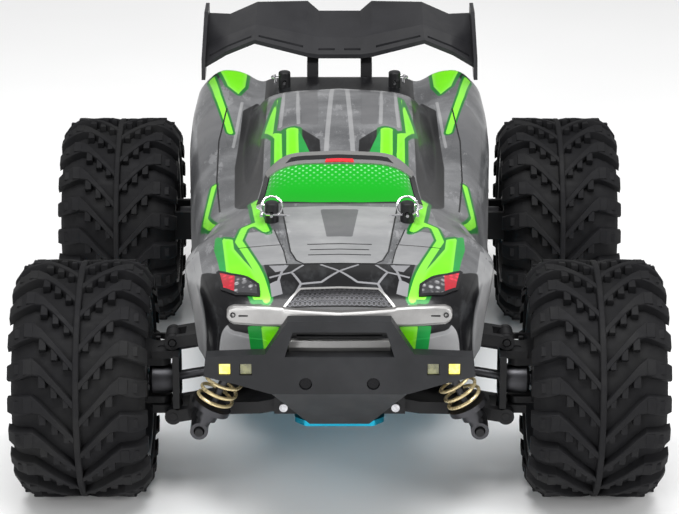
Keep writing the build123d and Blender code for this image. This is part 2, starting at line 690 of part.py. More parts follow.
def front_bumper():
    """The front bumper: hoop, lamp wings and the skid tongue that bolts to the gearbox."""
    face_y, back_y = -150.0, -144.5
    outline = [(0, 86), (17.5, 86), (25.2, 74), (45.4, 73.2), (46.2, 66), (35.5, 63.2),
               (23.7, 59.6), (0, 59.6)]
    opening = [(0, 82), (15.8, 82), (18.6, 73), (0, 73)]
    with BuildPart() as part:
        with BuildSketch(Plane.XZ.offset(-back_y)):
            with BuildLine():
                Polyline(*mirrored_outline(outline), close=True)
            make_face()
            with BuildLine():
                Polyline(*mirrored_outline(opening), close=True)
            make_face(mode=Mode.SUBTRACT)
        extrude(amount=back_y - face_y)
        with BuildSketch(Plane.XZ.offset(-face_y)):
            with Locations((0, 62)):
                Rectangle(46, 5)
        with BuildSketch(Plane.XZ.offset(121.0)):
            with Locations((0, 39.3)):
                Rectangle(21, 6.4)
        loft(ruled=True)
        block((-9, 9), (-122, -110.6), (37, 46))
        block((-30, 30), (-144.5, -141), (60, 70))
        for side in (-1, 1):
            for x in (31.8, 39.0):
                block(sorted((side * (x - 2.1), side * (x + 2.1))), (face_y - 1, face_y + 3),
                      (66.4, 70.6), mode=Mode.SUBTRACT)
            rod_y(2.2, side * 11.5, 63.2, face_y - 1, face_y + 2, mode=Mode.SUBTRACT)
    return part.part


def led_lenses():
    """The four square lamp lenses."""
    lenses = []
    for x in (-39.0, -31.8, 31.8, 39.0):
        with BuildPart() as lens:
            block((x - 1.9, x + 1.9), (-149.2, -147.1), (66.6, 70.4))
        lenses.append(lens.part)
    return lenses


def screws():
    """The bumper screws, in their counterbores, and the two wing screws."""
    parts = []
    for side in (-1, 1):
        with BuildPart() as screw:
            rod_y(1.9, side * 11.5, 63.2, -149.4, -148)
        parts.append(screw.part)
        for y in (-(WHEELBASE + 12) / 2, (WHEELBASE + 12) / 2):
            with BuildPart() as screw:
                rod_z(1.6, side * 10, y, PLATE_TOP - PLATE_THICKNESS + 0.6, PLATE_TOP)
                rod_z(2.8, side * 10, y, PLATE_TOP - PLATE_THICKNESS + 0.1,
                      PLATE_TOP - PLATE_THICKNESS + 1.1)
            parts.append(screw.part)
    return parts


# ---- electrics --------------------------------------------------------------------------
def battery_pack():
    """The battery pack on the right-hand side of the centre shaft."""
    with BuildPart() as part:
        block((-44.5, -14), (-36, 34), (PLATE_TOP, 54))
        fillet(part.edges().filter_by(Axis.Y), 3)
    return part.part


def receiver_box():
    """The receiver and speed controller's case, with the slot for its power switch."""
    with BuildPart() as part:
        block((10, 43), (14, 54), (PLATE_TOP, 53))
        chamfer(part.edges().filter_by(Axis.Z), 2)
        block((31, 37), (36, 49), (50, 54), mode=Mode.SUBTRACT)
        for i in range(5):
            block((14, 27), (20 + 6 * i, 23 + 6 * i), (51.5, 54), mode=Mode.SUBTRACT)
    return part.part


def power_switch():
    """The sliding power switch."""
    with BuildPart() as part:
        block((31.5, 36.5), (36.6, 43), (50.4, 52.6))
        block((32.5, 35.5), (38, 41.6), (52.6, 55.2))
    return part.part


def steering_servo():
    """The steering servo with its output boss."""
    pivot_y = FRONT_AXLE_Y + HORN_PIVOT[1]
    with BuildPart() as part:
        block((6, 30), (pivot_y - 5.5, pivot_y + 15), (PLATE_TOP, 51.5))
        block((6, 22), (pivot_y - 9, pivot_y + 16.5), (46, 48))
        rod_z(2.4, HORN_PIVOT[0], pivot_y, 51, 55.6)
    return part.part


def servo_horn():
    """The horn on the servo's output, with the pin that moves the drag link."""
    x, y = HORN_PIVOT[0], FRONT_AXLE_Y + HORN_PIVOT[1]
    pin_y = FRONT_AXLE_Y + TIE_Y
    with BuildPart() as part:
        rod_z(4, x, y, HORN_TOP_Z, HORN_TOP_Z + 2.4)
        block((x - 2.4, x + 2.4), (pin_y, y), (HORN_TOP_Z, HORN_TOP_Z + 2.4))
        rod_z(2.4, x, pin_y, HORN_TOP_Z, HORN_TOP_Z + 2.4)
        rod_z(1.2, x, pin_y, 52.8, HORN_TOP_Z + 1)
    return part.part


def drag_link():
    """The cross bar that the horn slides sideways, forked at both ends for the tie rods."""
    x_end, z = TIE_INNER
    with BuildPart() as part:
        block((-20, 20), (15.6, 18.4), (52.6, 55.4))
        with BuildSketch(Plane.XY.offset(52.6)):
            with Locations((HORN_PIVOT[0], 18.0)):
                RectangleRounded(8, 9.6, 1.5)
        extrude(amount=2.8)
        with BuildSketch(Plane.XY.offset(52)):
            with Locations((HORN_PIVOT[0], 18.05)):
                SlotOverall(5.6, 3.0, rotation=90)
        extrude(amount=4, mode=Mode.SUBTRACT)
        for side in (-1, 1):
            block(sorted((side * 19.5, side * 22)), (13.8, 20.2), (52.6, 55.4))
            for y_from, y_to in ((13.8, 15.3), (18.7, 20.2)):
                block(sorted((side * 21, side * x_end)), (y_from, y_to), (52.6, 55.4))
                rod_y(1.9, side * x_end, z, y_from, y_to)
            rod_y(1.3, side * x_end, z, 14, 20)
    return part.part.moved(Location((0, FRONT_AXLE_Y, 0)))


def tie_rod():
    """A tie rod from the drag link's fork to the slot in the knuckle's arm."""
    reach = Vector(TIE_OUTER[0] - TIE_INNER[0], 0, TIE_OUTER[1] - TIE_INNER[1])
    start = Plane(origin=(TIE_INNER[0], TIE_Y, TIE_INNER[1]), x_dir=(0, 1, 0), z_dir=reach)
    with BuildPart() as part:
        rod_y(2.4, *TIE_INNER, TIE_Y - 1.4, TIE_Y + 1.4)
        with BuildSketch(start.offset(2)):
            Circle(1.1)
        extrude(amount=reach.length - 2)
        rod_z(2.3, TIE_OUTER[0], TIE_Y, 45.2, 47.6)
        rod_z(0.9, TIE_OUTER[0], TIE_Y, 46, 52.4)
        rod_y(1.4, *TIE_INNER, TIE_Y - 3, TIE_Y + 3, mode=Mode.SUBTRACT)
    return part.part


# ---- wing and body shell ----------------------------------------------------------------
WING_STATIONS = [  # distance from the middle, height of the leading, middle and trailing edge
    (0, 107.6, 109.6, 116.0),
    (9, 107.6, 109.6, 116.0),
    (14, 108.3, 110.8, 120.4),
    (36, 114.0, 115.4, 120.0),
    (48, 109.0, 110.6, 114.6),
    (57, 103.6, 106.6, 115.0),
]
WING_LEADING_Y, WING_MIDDLE_Y, WING_TRAILING_Y = 104.6, 126.0, 150.0
WING_THICKNESS = 1.8


def rear_wing():
    """The M-shaped rear wing with slots behind its leading edge and an end plate each side."""
    end_x = WING_STATIONS[-1][0]
    with BuildPart() as part:
        for side in (-1, 1):
            for inner, outer in zip(WING_STATIONS, WING_STATIONS[1:]):
                for x, lead, middle, trail in (inner, outer):
                    with BuildSketch(Plane.YZ.offset(side * x)):
                        with BuildLine():
                            Polyline(
                                (WING_LEADING_Y, lead),
                                (WING_MIDDLE_Y, middle),
                                (WING_TRAILING_Y, trail),
                                (WING_TRAILING_Y, trail + WING_THICKNESS * 0.5),
                                (WING_MIDDLE_Y - 1, middle + WING_THICKNESS),
                                (WING_LEADING_Y, lead + WING_THICKNESS),
                                close=True,
                            )
                        make_face()
                loft(ruled=True)
        for side in (-1, 1):
            with BuildSketch(Plane.YZ.offset(side * end_x - (0 if side > 0 else 1.6))):
                with BuildLine():
                    Polyline((101.4, 99), (108, 99), (WING_TRAILING_Y, 112),
                             (WING_TRAILING_Y, 120.4), (134, 120.4), (104, 107.5), close=True)
                make_face()
            extrude(amount=1.6)
            for x_from, x_to in ((2, 9), (15.5, 34.5), (37.5, 55.5)):
                block(sorted((side * x_from, side * x_to)), (109.5, 112), (100, 122),
                      mode=Mode.SUBTRACT)
    return part.part


SHELL_STATIONS = {  # distance behind the front axle: half section from the middle of the roof down
    -45: [(0, 84.5), (16, 84.5), (24, 84), (32, 83), (38, 81), (40.5, 76), (41, 62)],
    -38: [(0, 90), (16, 89.7), (26, 89), (34, 88), (42, 85), (45, 77), (45, 62)],
    -26: [(0, 94), (16, 93.6), (26, 93), (36, 91.5), (46, 87.5), (49, 78), (48, 62)],
    0: [(0, 95.6), (16, 95.2), (26, 94.6), (38, 93.4), (49, 89.5), (54.5, 82), (53, 62)],
    12: [(0, 96.4), (17, 96), (27, 95.4), (38, 94), (50, 89.8), (56, 83.5), (53, 62)],
    35: [(0, 97.6), (24, 97.3), (29, 96.6), (37, 93), (46, 88), (51, 80), (50.5, 42)],
    58: [(0, 106), (22, 105.2), (33, 93), (38, 89), (46, 86), (53, 78), (55.5, 42)],
    90: [(0, 112), (27, 110.4), (36, 91), (40, 90), (49, 89), (57, 80), (57.5, 42)],
    125: [(0, 113.6), (28, 112.2), (37, 92.5), (41, 93), (51, 95), (60, 84), (60, 42)],
    150: [(0, 108.6), (28, 107), (36, 97), (40, 98.5), (52, 100), (61, 89), (61, 42)],
    165: [(0, 101), (27.5, 101), (33, 97.4), (41, 101), (52, 102.6), (61, 92), (61, 42)],
    195: [(0, 101), (27.5, 101), (33, 98.4), (41, 103.6), (51, 104.4), (60, 95), (61, 42)],
}


def inset(half, distance):
    """The half section moved inwards by the sheet's thickness, its lowest point dropped clear."""
    moved = []
    for i, (x, z) in enumerate(half):
        before = half[i - 1] if i else (-half[1][0], half[1][1])
        after = half[i + 1] if i + 1 < len(half) else (x, z - 10)
        normals = []
        for (x1, z1), (x2, z2) in ((before, (x, z)), ((x, z), after)):
            length = hypot(x2 - x1, z2 - z1)
            normals.append(((z2 - z1) / length, -(x2 - x1) / length))
        nx, nz = (sum(n[k] for n in normals) for k in (0, 1))
        scale = 2 * distance / (nx * nx + nz * nz)
        moved.append((x + nx * scale if i else 0.0, z + nz * scale))
    moved[-1] = (moved[-1][0], moved[-1][1] - 20)
    return moved


def shell_sections(shift, distance):
    """The shell's closed sections, inset by distance, with shift added to the first one's place."""
    for i, (station, half) in enumerate(SHELL_STATIONS.items()):
        y = FRONT_AXLE_Y + station + (shift if i == 0 else 0)
        yield y, mirrored_outline(inset(half, distance) if distance else half)


def shell_solid(shift=0.0, distance=0.0):
    """The solid that the shell's outer or inner surface bounds."""
    sections = list(shell_sections(shift, distance))
    if distance:
        last_y, last = sections[-1]
        sections.append((last_y + 5, last))
    with BuildPart() as part:
        for near, far in zip(sections, sections[1:]):
            for y, outline in (near, far):
                with BuildSketch(Plane.XZ.offset(-y)):
                    with BuildLine():
                        Polyline(*outline, close=True)
                    make_face()
            loft(ruled=True)
    return part.part


def body_shell():
    """The vacuum-formed body: bonnet, cab and rear pods in one thin sheet, open underneath."""
    wide = (-80, 80)
    with BuildPart() as part:
        add(shell_solid())
        add(shell_solid(SHELL_THICKNESS, SHELL_THICKNESS), mode=Mode.SUBTRACT)
        block(wide, (-145, FRONT_AXLE_Y - 17), (20, 61.9), mode=Mode.SUBTRACT)
        block(wide, (FRONT_AXLE_Y - 17, FRONT_AXLE_Y + 50), (20, 76), mode=Mode.SUBTRACT)
        block(wide, (FRONT_AXLE_Y + 16, FRONT_AXLE_Y + 50), (20, 82), mode=Mode.SUBTRACT)
        block(wide, (REAR_AXLE_Y - 46, REAR_AXLE_Y + 30), (20, 80), mode=Mode.SUBTRACT)
        for axle in AXLES:
            for side in (-1, 1):
                rod_z(3, side * POST_X[axle], AXLE_Y[axle] + post_offset(axle), 85, 120,
                      mode=Mode.SUBTRACT)
    return part.part


def post_offset(axle):
    """How far a body post stands behind its axle."""
    return POST_Y[axle] if axle == "front" else -POST_Y[axle]


def body_post(axle, side):
    """The upper half of a body post: a stem that slides in the tower's sleeve, and a holed head."""
    x, y = side * POST_X[axle], AXLE_Y[axle] + post_offset(axle)
    seat, head = SHELL_AT_POST_Z[axle], POST_HEAD_Z[axle]
    with BuildPart() as part:
        rod_z(2.5, x, y, 74, head)
        rod_z(4.2, x, y, seat - 5.6, seat - 4)
        rod_y(0.8, x, seat + 2.4, y - 4, y + 4, mode=Mode.SUBTRACT)
        fillet(part.edges().filter_by(GeomType.CIRCLE).sort_by(Axis.Z)[-1], 0.8)
    return part.part


def body_clip(axle, side):
    """A wire clip: a straight leg through the post, a bow round it and a finger ring."""
    x, y = side * POST_X[axle], AXLE_Y[axle] + post_offset(axle)
    z = SHELL_AT_POST_Z[axle] + 2.4
    wire = 0.55
    with BuildPart() as part:
        with BuildLine() as path:
            FilletPolyline(
                (x, y - 5.0, z),
                (x, y + 5.5, z),
                (x + side * 3.4, y + 8.6, z),
                (x + side * 5.6, y + 5.5, z),
                (x + side * 3.7, y + 2.6, z),
                (x + side * 3.7, y - 4.4, z),
                radius=1.4,
            )
        with BuildSketch(Plane(origin=path.line @ 0, z_dir=path.line % 0)):
            Circle(wire)
        sweep()
    return part.part


# ---- writing every node -------------------------------------------------------------------
CORNER_PARTS = {
    "tyre": tyre(),
    "lower_arm": lower_arm(),
    "upper_arm": upper_arm(),
    "damper_body": damper_cylinder(),
    "damper_rod": damper_rod(),
    "drive_shaft": drive_shaft(),
}
CARRIERS = {"front": front_hub_carrier(), "rear": rear_hub_carrier()}
rim_pieces = rim()
for axle in AXLES:
    for side in SIDES:
        corner = f"{axle}_{side}"
        for name, shape in CORNER_PARTS.items():
            save(place(shape, side, axle), f"{corner}_{name}")
        group([place(piece, side, axle) for piece in rim_pieces], f"{corner}_rim")
        save(place(CARRIERS[axle], side, axle), f"{corner}_hub_carrier")
steering_knuckle, steering_rod = knuckle(), tie_rod()
for side in SIDES:
    save(place(steering_knuckle, side, "front"), f"front_{side}_knuckle")
    save(place(steering_rod, side, "front"), f"{side}_tie_rod")

coil = damper_spring()
group([place(coil, side, axle) for axle in AXLES for side in SIDES], "damper_springs")

save(differential(-1).moved(Location((0, FRONT_AXLE_Y, 0))), "front_differential")
save(differential(1).moved(Location((0, REAR_AXLE_Y, 0))), "rear_differential")
group(centre_shaft(), "centre_drive_shaft")
save(motor_pinion(), "motor_pinion")
group(motor(), "motor")

save(chassis_plate(), "chassis_plate")
for axle in AXLES:
    save(place(gearbox(), "left", axle), f"{axle}_gearbox")
save(place(shock_tower("front"), "left", "front"), "front_shock_tower")
group([place(shock_tower("rear"), "left", "rear"), *wing_stays()], "rear_shock_tower")
save(front_bumper(), "front_bumper")
group(led_lenses(), "lamp_lenses")
pins = [place(pin, "left", axle) for axle in AXLES for pin in hinge_pins()]
group([*pins, *screws()], "hinge_pins_and_screws")

save(battery_pack(), "battery_pack")
save(receiver_box(), "receiver_box")
save(power_switch(), "power_switch")
save(steering_servo(), "steering_servo")
save(servo_horn(), "servo_horn")
save(drag_link(), "drag_link")

save(rear_wing(), "rear_wing")
save(body_shell(), "body_shell")
group([body_post(axle, side) for axle in AXLES for side in (-1, 1)], "body_posts")
group([body_clip(axle, side) for axle in AXLES for side in (-1, 1)], "body_clips")
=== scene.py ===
"""Looks of the remote-control monster truck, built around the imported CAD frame.

Metres in the scene; the tables below are in millimetres and are scaled where they are used.
The nose points to -Y, and +X is the truck's own left side.
"""

import math

import bmesh
import bpy
import numpy as np
from mathutils import Matrix, Vector
from mathutils.bvhtree import BVHTree


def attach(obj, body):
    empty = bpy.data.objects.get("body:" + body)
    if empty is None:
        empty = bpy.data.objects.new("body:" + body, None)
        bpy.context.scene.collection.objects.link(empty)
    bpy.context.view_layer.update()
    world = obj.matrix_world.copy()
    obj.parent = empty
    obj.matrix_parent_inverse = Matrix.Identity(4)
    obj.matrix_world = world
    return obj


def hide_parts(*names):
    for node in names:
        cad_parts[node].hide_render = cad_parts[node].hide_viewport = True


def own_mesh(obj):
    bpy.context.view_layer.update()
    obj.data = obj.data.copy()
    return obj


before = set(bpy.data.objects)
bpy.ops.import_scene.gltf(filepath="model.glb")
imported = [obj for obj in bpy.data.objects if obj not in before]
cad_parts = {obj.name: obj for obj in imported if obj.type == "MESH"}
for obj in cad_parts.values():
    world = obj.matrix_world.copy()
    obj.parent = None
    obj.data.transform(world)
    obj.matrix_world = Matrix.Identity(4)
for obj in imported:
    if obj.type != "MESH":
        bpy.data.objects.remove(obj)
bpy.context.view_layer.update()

MM = 0.001
SIDES = {"left": 1, "right": -1}
AXLES = {"front": -95.0, "rear": 83.0}
FRONT_AXLE_Y = AXLES["front"]
AXLE_Z = 43.0


# ---- mesh helpers -----------------------------------------------------------------------
def piece(name, verts, faces, body, slot, material, replaces=(), bevel=0.0, smooth=True):
    """A mesh piece from points in millimetres, riding on a body."""
    mesh = bpy.data.meshes.new(name)
    mesh.from_pydata([Vector(v) * MM for v in verts], [], faces)
    mesh.validate()
    return dress(mesh, name, body, material, replaces, bevel, smooth)


def dress(mesh, name, body, material, replaces=(), bevel=0.0, smooth=True, angle=32):
    """Turns a finished mesh into a piece of the model."""
    obj = bpy.data.objects.new(name, mesh)
    bpy.context.scene.collection.objects.link(obj)
    mesh.materials.append(material)
    if bevel:
        modifier = obj.modifiers.new("edges", "BEVEL")
        modifier.width = bevel * MM
        modifier.segments = 2
        modifier.limit_method = "ANGLE"
        modifier.angle_limit = math.radians(28)
        modifier.harden_normals = False
    if smooth:
        shade_by_angle(mesh, angle)
    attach(obj, body)
    if replaces:
        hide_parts(*replaces)
    return obj


def shade_by_angle(mesh, angle):
    """Smooth shading with sharp edges above an angle in degrees."""
    bm = bmesh.new()
    bm.from_mesh(mesh)
    bmesh.ops.recalc_face_normals(bm, faces=bm.faces)
    limit = math.radians(angle)
    for face in bm.faces:
        face.smooth = True
    for edge in bm.edges:
        edge.smooth = not (edge.is_manifold and edge.calc_face_angle(0) > limit)
    bm.to_mesh(mesh)
    bm.free()


def join(parts):
    """One (verts, faces) from several."""
    verts, faces = [], []
    for v, f in parts:
        base = len(verts)
        verts += v
        faces += [[i + base for i in face] for face in f]
    return verts, faces


def prism(outline, low, high, place):
    """A closed prism: a flat outline of (a, b) points, from low to high; place(a, b, c) gives x, y, z."""
    n = len(outline)
    verts = [place(a, b, low) for a, b in outline] + [place(a, b, high) for a, b in outline]
    faces = [list(range(n))[::-1], list(range(n, 2 * n))]
    faces += [[i, (i + 1) % n, (i + 1) % n + n, i + n] for i in range(n)]
    return verts, faces


def lathe(profile, steps, centre, axis="x", closed=True):
    """A ring surface from (along, radius) points round an axis through centre."""
    verts = []
    for k in range(steps):
        turn = 2 * math.pi * k / steps
        c, s = math.cos(turn), math.sin(turn)
        for along, radius in profile:
            local = {"x": (along, radius * c, radius * s), "z": (radius * c, radius * s, along),
                     "y": (radius * s, along, radius * c)}[axis]
            verts.append(tuple(centre[i] + local[i] for i in range(3)))
    n = len(profile)
    faces = []
    for k in range(steps):
        a, b = k * n, ((k + 1) % steps) * n
        last = n if closed else n - 1
        faces += [[a + i, a + (i + 1) % n, b + (i + 1) % n, b + i] for i in range(last)]
    return verts, faces


def tube(points, radius, sides=10):
    """A round tube with capped ends along a list of points."""
    pts = [Vector(p) for p in points]
    verts, faces = [], []
    normal = None
    for i, p in enumerate(pts):
        tangent = (pts[min(i + 1, len(pts) - 1)] - pts[max(i - 1, 0)]).normalized()
        if normal is None:
            normal = tangent.orthogonal().normalized()
        normal = (normal - tangent * normal.dot(tangent)).normalized()
        side = tangent.cross(normal)
        for k in range(sides):
            turn = 2 * math.pi * k / sides
            verts.append(tuple(p + normal * radius * math.cos(turn) + side * radius * math.sin(turn)))
    for i in range(len(pts) - 1):
        for k in range(sides):
            a, b = i * sides + k, i * sides + (k + 1) % sides
            faces.append([a, b, b + sides, a + sides])
    faces.append(list(range(sides))[::-1])
    faces.append([(len(pts) - 1) * sides + k for k in range(sides)])
    return verts, faces


# ---- material helpers ---------------------------------------------------------------------
class Nodes:
    """A material's node tree with short calls for the nodes used here."""

    def __init__(self, name):
        self.material = bpy.data.materials.new(name)
        self.material.use_nodes = True
        self.tree = self.material.node_tree
        self.shader = self.tree.nodes["Principled BSDF"]
        self.coords = self.tree.nodes.new("ShaderNodeTexCoord").outputs["Object"]

    def put(self, socket, value):
        if hasattr(value, "is_linked"):
            self.tree.links.new(value, socket)
        elif value is not None:
            if hasattr(socket.default_value, "__len__") and len(socket.default_value) == 4 and len(value) == 3:
                value = (*value, 1.0)
            socket.default_value = value

    def node(self, kind, out=0, settings=None, **inputs):
        made = self.tree.nodes.new(kind)
        for key, value in (settings or {}).items():
            setattr(made, key, value)
        for key, value in inputs.items():
            self.put(made.inputs[int(key[1:]) if key[0] == "_" else key.replace("_", " ")], value)
        return made.outputs[out]

    def noise(self, scale, detail=4.0, roughness=0.55, stretch=(1, 1, 1), out="Fac"):
        moved = self.node("ShaderNodeMapping", Vector=self.coords, Scale=stretch)
        return self.node("ShaderNodeTexNoise", out, Vector=moved, Scale=scale, Detail=detail,
                         Roughness=roughness)

    def math(self, operation, a, b=0.0, clamp=False):
        return self.node("ShaderNodeMath", 0, {"operation": operation, "use_clamp": clamp}, _0=a, _1=b)

    def span(self, value, low, high, to_low=0.0, to_high=1.0):
        return self.node("ShaderNodeMapRange", 0, {"interpolation_type": "SMOOTHSTEP"}, _0=value,
                         _1=low, _2=high, _3=to_low, _4=to_high)

    def mix(self, share, a, b):
        made = self.tree.nodes.new("ShaderNodeMix")
        made.data_type = "RGBA"
        self.put(made.inputs["Factor"], share)
        self.put(made.inputs[6], a)
        self.put(made.inputs[7], b)
        return made.outputs[2]

    def field(self, name):
        return self.node("ShaderNodeAttribute", "Fac", {"attribute_name": name})

    def bump(self, height, strength, distance, below=None):
        return self.node("ShaderNodeBump", 0, None, Height=height, Strength=strength,
                         Distance=distance * MM, **({"Normal": below} if below else {}))

    def finish(self, colour, roughness, metallic=0.0, normal=None, **sockets):
        self.put(self.shader.inputs["Base Color"], colour)
        self.put(self.shader.inputs["Roughness"], roughness)
        self.put(self.shader.inputs["Metallic"], metallic)
        if normal is not None:
            self.put(self.shader.inputs["Normal"], normal)
        for key, value in sockets.items():
            self.put(self.shader.inputs[key.replace("_", " ")], value)
        return self.material


def moulded(name, colour, roughness=0.5, grain=0.5, dust=0.12, speckle=2600.0):
    """Moulded plastic: fine spark-eroded grain, slight flow marks and dust in patches."""
    n = Nodes(name)
    patches = n.span(n.noise(38, 5, 0.6), 0.35, 0.7)
    flow = n.noise(120, 3, 0.5, (1, 0.25, 1))
    pale = tuple(min(1, c * 1.7 + 0.012) for c in colour)
    base = n.mix(n.math("MULTIPLY", patches, dust * 2.5), colour, pale)
    base = n.mix(n.span(flow, 0.45, 0.75, 0.0, 0.16), base, tuple(c * 0.55 for c in colour))
    rough = n.math("ADD", n.span(patches, 0, 1, roughness - 0.07, roughness + 0.09),
                   n.span(flow, 0.3, 0.7, -0.03, 0.04))
    skin = n.bump(n.noise(speckle, 2, 0.5), 0.22 * grain, 0.09)
    skin = n.bump(n.noise(260, 3, 0.5), 0.10 * grain, 0.3, skin)
    return n.finish(base, rough, 0.0, skin, Specular_IOR_Level=0.22)


def metal(name, colour, roughness=0.28, brushed=(1, 1, 1), metallic=1.0, grime=0.15):
    """Machined or plated metal: tool marks along one way, fine scratches and darker patches."""
    n = Nodes(name)
    marks = n.noise(900, 3, 0.6, brushed)
    patches = n.span(n.noise(55, 4, 0.6), 0.4, 0.72)
    base = n.mix(n.math("MULTIPLY", patches, grime), colour, tuple(c * 0.35 for c in colour))
    base = n.mix(n.span(marks, 0.4, 0.7, 0, 0.18), base, tuple(min(1, c * 1.35) for c in colour))
    rough = n.math("ADD", n.span(marks, 0.25, 0.8, roughness - 0.06, roughness + 0.1),
                   n.math("MULTIPLY", patches, 0.12))
    return n.finish(base, rough, metallic, n.bump(marks, 0.12, 0.06))


def rubber():
    """Matt tyre rubber: dust in patches, streaks and a fine moulded grain."""
    n = Nodes("tyre_rubber")
    dust = n.span(n.noise(42, 6, 0.65), 0.42, 0.7)
    streak = n.noise(300, 3, 0.6, (0.3, 1, 1))
    base = n.mix(n.math("MULTIPLY", dust, 0.35), (0.006, 0.006, 0.007), (0.021, 0.021, 0.020))
    base = n.mix(n.span(streak, 0.5, 0.8, 0, 0.3), base, (0.013, 0.013, 0.014))
    skin = n.bump(n.noise(1900, 3, 0.6), 0.3, 0.1)
    skin = n.bump(n.noise(420, 2, 0.5), 0.15, 0.25, skin)
    return n.finish(base, n.span(streak, 0.2, 0.8, 0.62, 0.82), 0.0, skin, Specular_IOR_Level=0.16)


RUBBER = rubber()
NYLON = moulded("black_nylon", (0.010, 0.010, 0.011), 0.46, 0.8)
BUMPER = moulded("bumper_plastic", (0.012, 0.0125, 0.014), 0.5, 1.0, 0.2, 3200)
RIM = moulded("rim_plastic", (0.009, 0.009, 0.010), 0.32, 0.35)
WING = moulded("wing_plastic", (0.015, 0.015, 0.017), 0.42, 0.6, 0.15)
CASE = moulded("case_plastic", (0.024, 0.025, 0.028), 0.4, 0.5)
WRAP = moulded("battery_wrap", (0.03, 0.05, 0.2), 0.28, 0.3, 0.1, 900)
STEEL = metal("bright_steel", (0.62, 0.62, 0.64), 0.24, (1, 6, 1))
CAN = metal("motor_can", (0.46, 0.46, 0.48), 0.34, (6, 1, 6), grime=0.25)
BRASS = metal("cut_brass", (0.72, 0.54, 0.25), 0.26, (1, 8, 1))
CHROME = metal("polished_wire", (0.86, 0.86, 0.88), 0.10, (1, 1, 5), grime=0.06)
ANODISED = metal("cyan_anodised", (0.015, 0.30, 0.44), 0.30, (1, 9, 1), 0.92, 0.12)
DAMPER = metal("black_anodised", (0.035, 0.035, 0.04), 0.30, (1, 1, 7), 0.85, 0.1)
DARK_STEEL = metal("dark_steel", (0.06, 0.06, 0.065), 0.34, (1, 1, 7), 0.9, 0.2)
SPRING = metal("cream_spring_wire", (0.66, 0.55, 0.31), 0.28, (1, 1, 1), 0.55, 0.2)

CAD_MATERIALS = {
    "lower_arm": NYLON, "upper_arm": NYLON, "hub_carrier": NYLON, "knuckle": NYLON,
    "damper_body": DAMPER, "damper_rod": DARK_STEEL, "drive_shaft": DARK_STEEL, "tie_rod": DARK_STEEL,
    "gearbox": NYLON, "shock_tower": NYLON, "chassis_plate": ANODISED, "motor": CAN,
    "motor_pinion": BRASS, "steering_servo": CASE, "servo_horn": NYLON, "drag_link": NYLON,
    "battery_pack": WRAP, "receiver_box": CASE, "power_switch": NYLON, "pins_and_screws": STEEL,
    "differential": STEEL, "centre_drive_shaft": STEEL, "body_posts": NYLON, "body_clips": CHROME,
    "front_bumper": BUMPER, "rear_wing": WING, "lamp_lenses": CASE, "body_shell": CASE,
    "tyre": RUBBER, "rim": RIM, "damper_springs": SPRING,
}
for node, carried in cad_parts.items():
    finish = next(m for key, m in CAD_MATERIALS.items() if node.endswith(key))
    carried.data.materials.clear()
    carried.data.materials.append(finish)


# ---- wheels ---------------------------------------------------------------------------------
TYRE_RADIUS, HALF_TYRE, WHEEL_X = 43.0, 25.0, 91.5
BARS = 20
CARCASS = [  # across from the tyre's middle, radius
    (1.3, 40.0), (9, 39.8), (15, 39.2), (19, 38.0), (21.8, 36.0), (23.2, 33.6), (23.0, 32.6),
    (23.5, 32.2), (23.1, 31.4), (21.4, 30.7), (21.0, 29.1), (18.4, 29.0), (18.4, 30.5),
]
BAR = [  # across, around, half width, top radius
    (1.0, 0.0, 1.45, 42.6), (4.5, 4.0, 1.5, 42.9), (8.5, 8.4, 1.6, 43.0), (12.0, 12.0, 1.9, 43.0),
    (15.2, 13.6, 3.0, 42.9), (18.6, 12.9, 3.4, 42.0), (21.8, 12.1, 3.3, 40.0), (24.4, 11.6, 2.9, 36.4),
]
TEETH = [(3.4, 1.1, 3.2), (7.4, 1.2, 3.8), (11.6, 1.3, 4.4)]  # across, half width, length under the bar
WELT = [(16.6, 1.5, 43.0, 10.4, 16.2), (20.4, 1.1, 41.2, 10.6, 14.6)]  # raised blocks on the shoulder


def carcass_radius(across):
    """The carcass's outside radius at a distance from the middle of the tread."""
    outer = CARCASS[:6]
    for (a, r), (b, q) in zip(outer, outer[1:]):
        if across <= b:
            return r + (q - r) * max(0.0, across - a) / (b - a)
    return outer[-1][1]


def on_tyre(across, around, radius):
    """A point of the tyre from its middle; around is measured at the tread, upwards at the front."""
    turn = around / 42.0
    return across, -radius * math.cos(turn), radius * math.sin(turn)


def loft(rings):
    """A closed solid through rings of equal length."""
    n = len(rings[0])
    verts = [p for ring in rings for p in ring]
    faces = [list(range(n))[::-1], [(len(rings) - 1) * n + i for i in range(n)]]
    for k in range(len(rings) - 1):
        faces += [[k * n + i, k * n + (i + 1) % n, (k + 1) * n + (i + 1) % n, (k + 1) * n + i]
                  for i in range(n)]
    return verts, faces


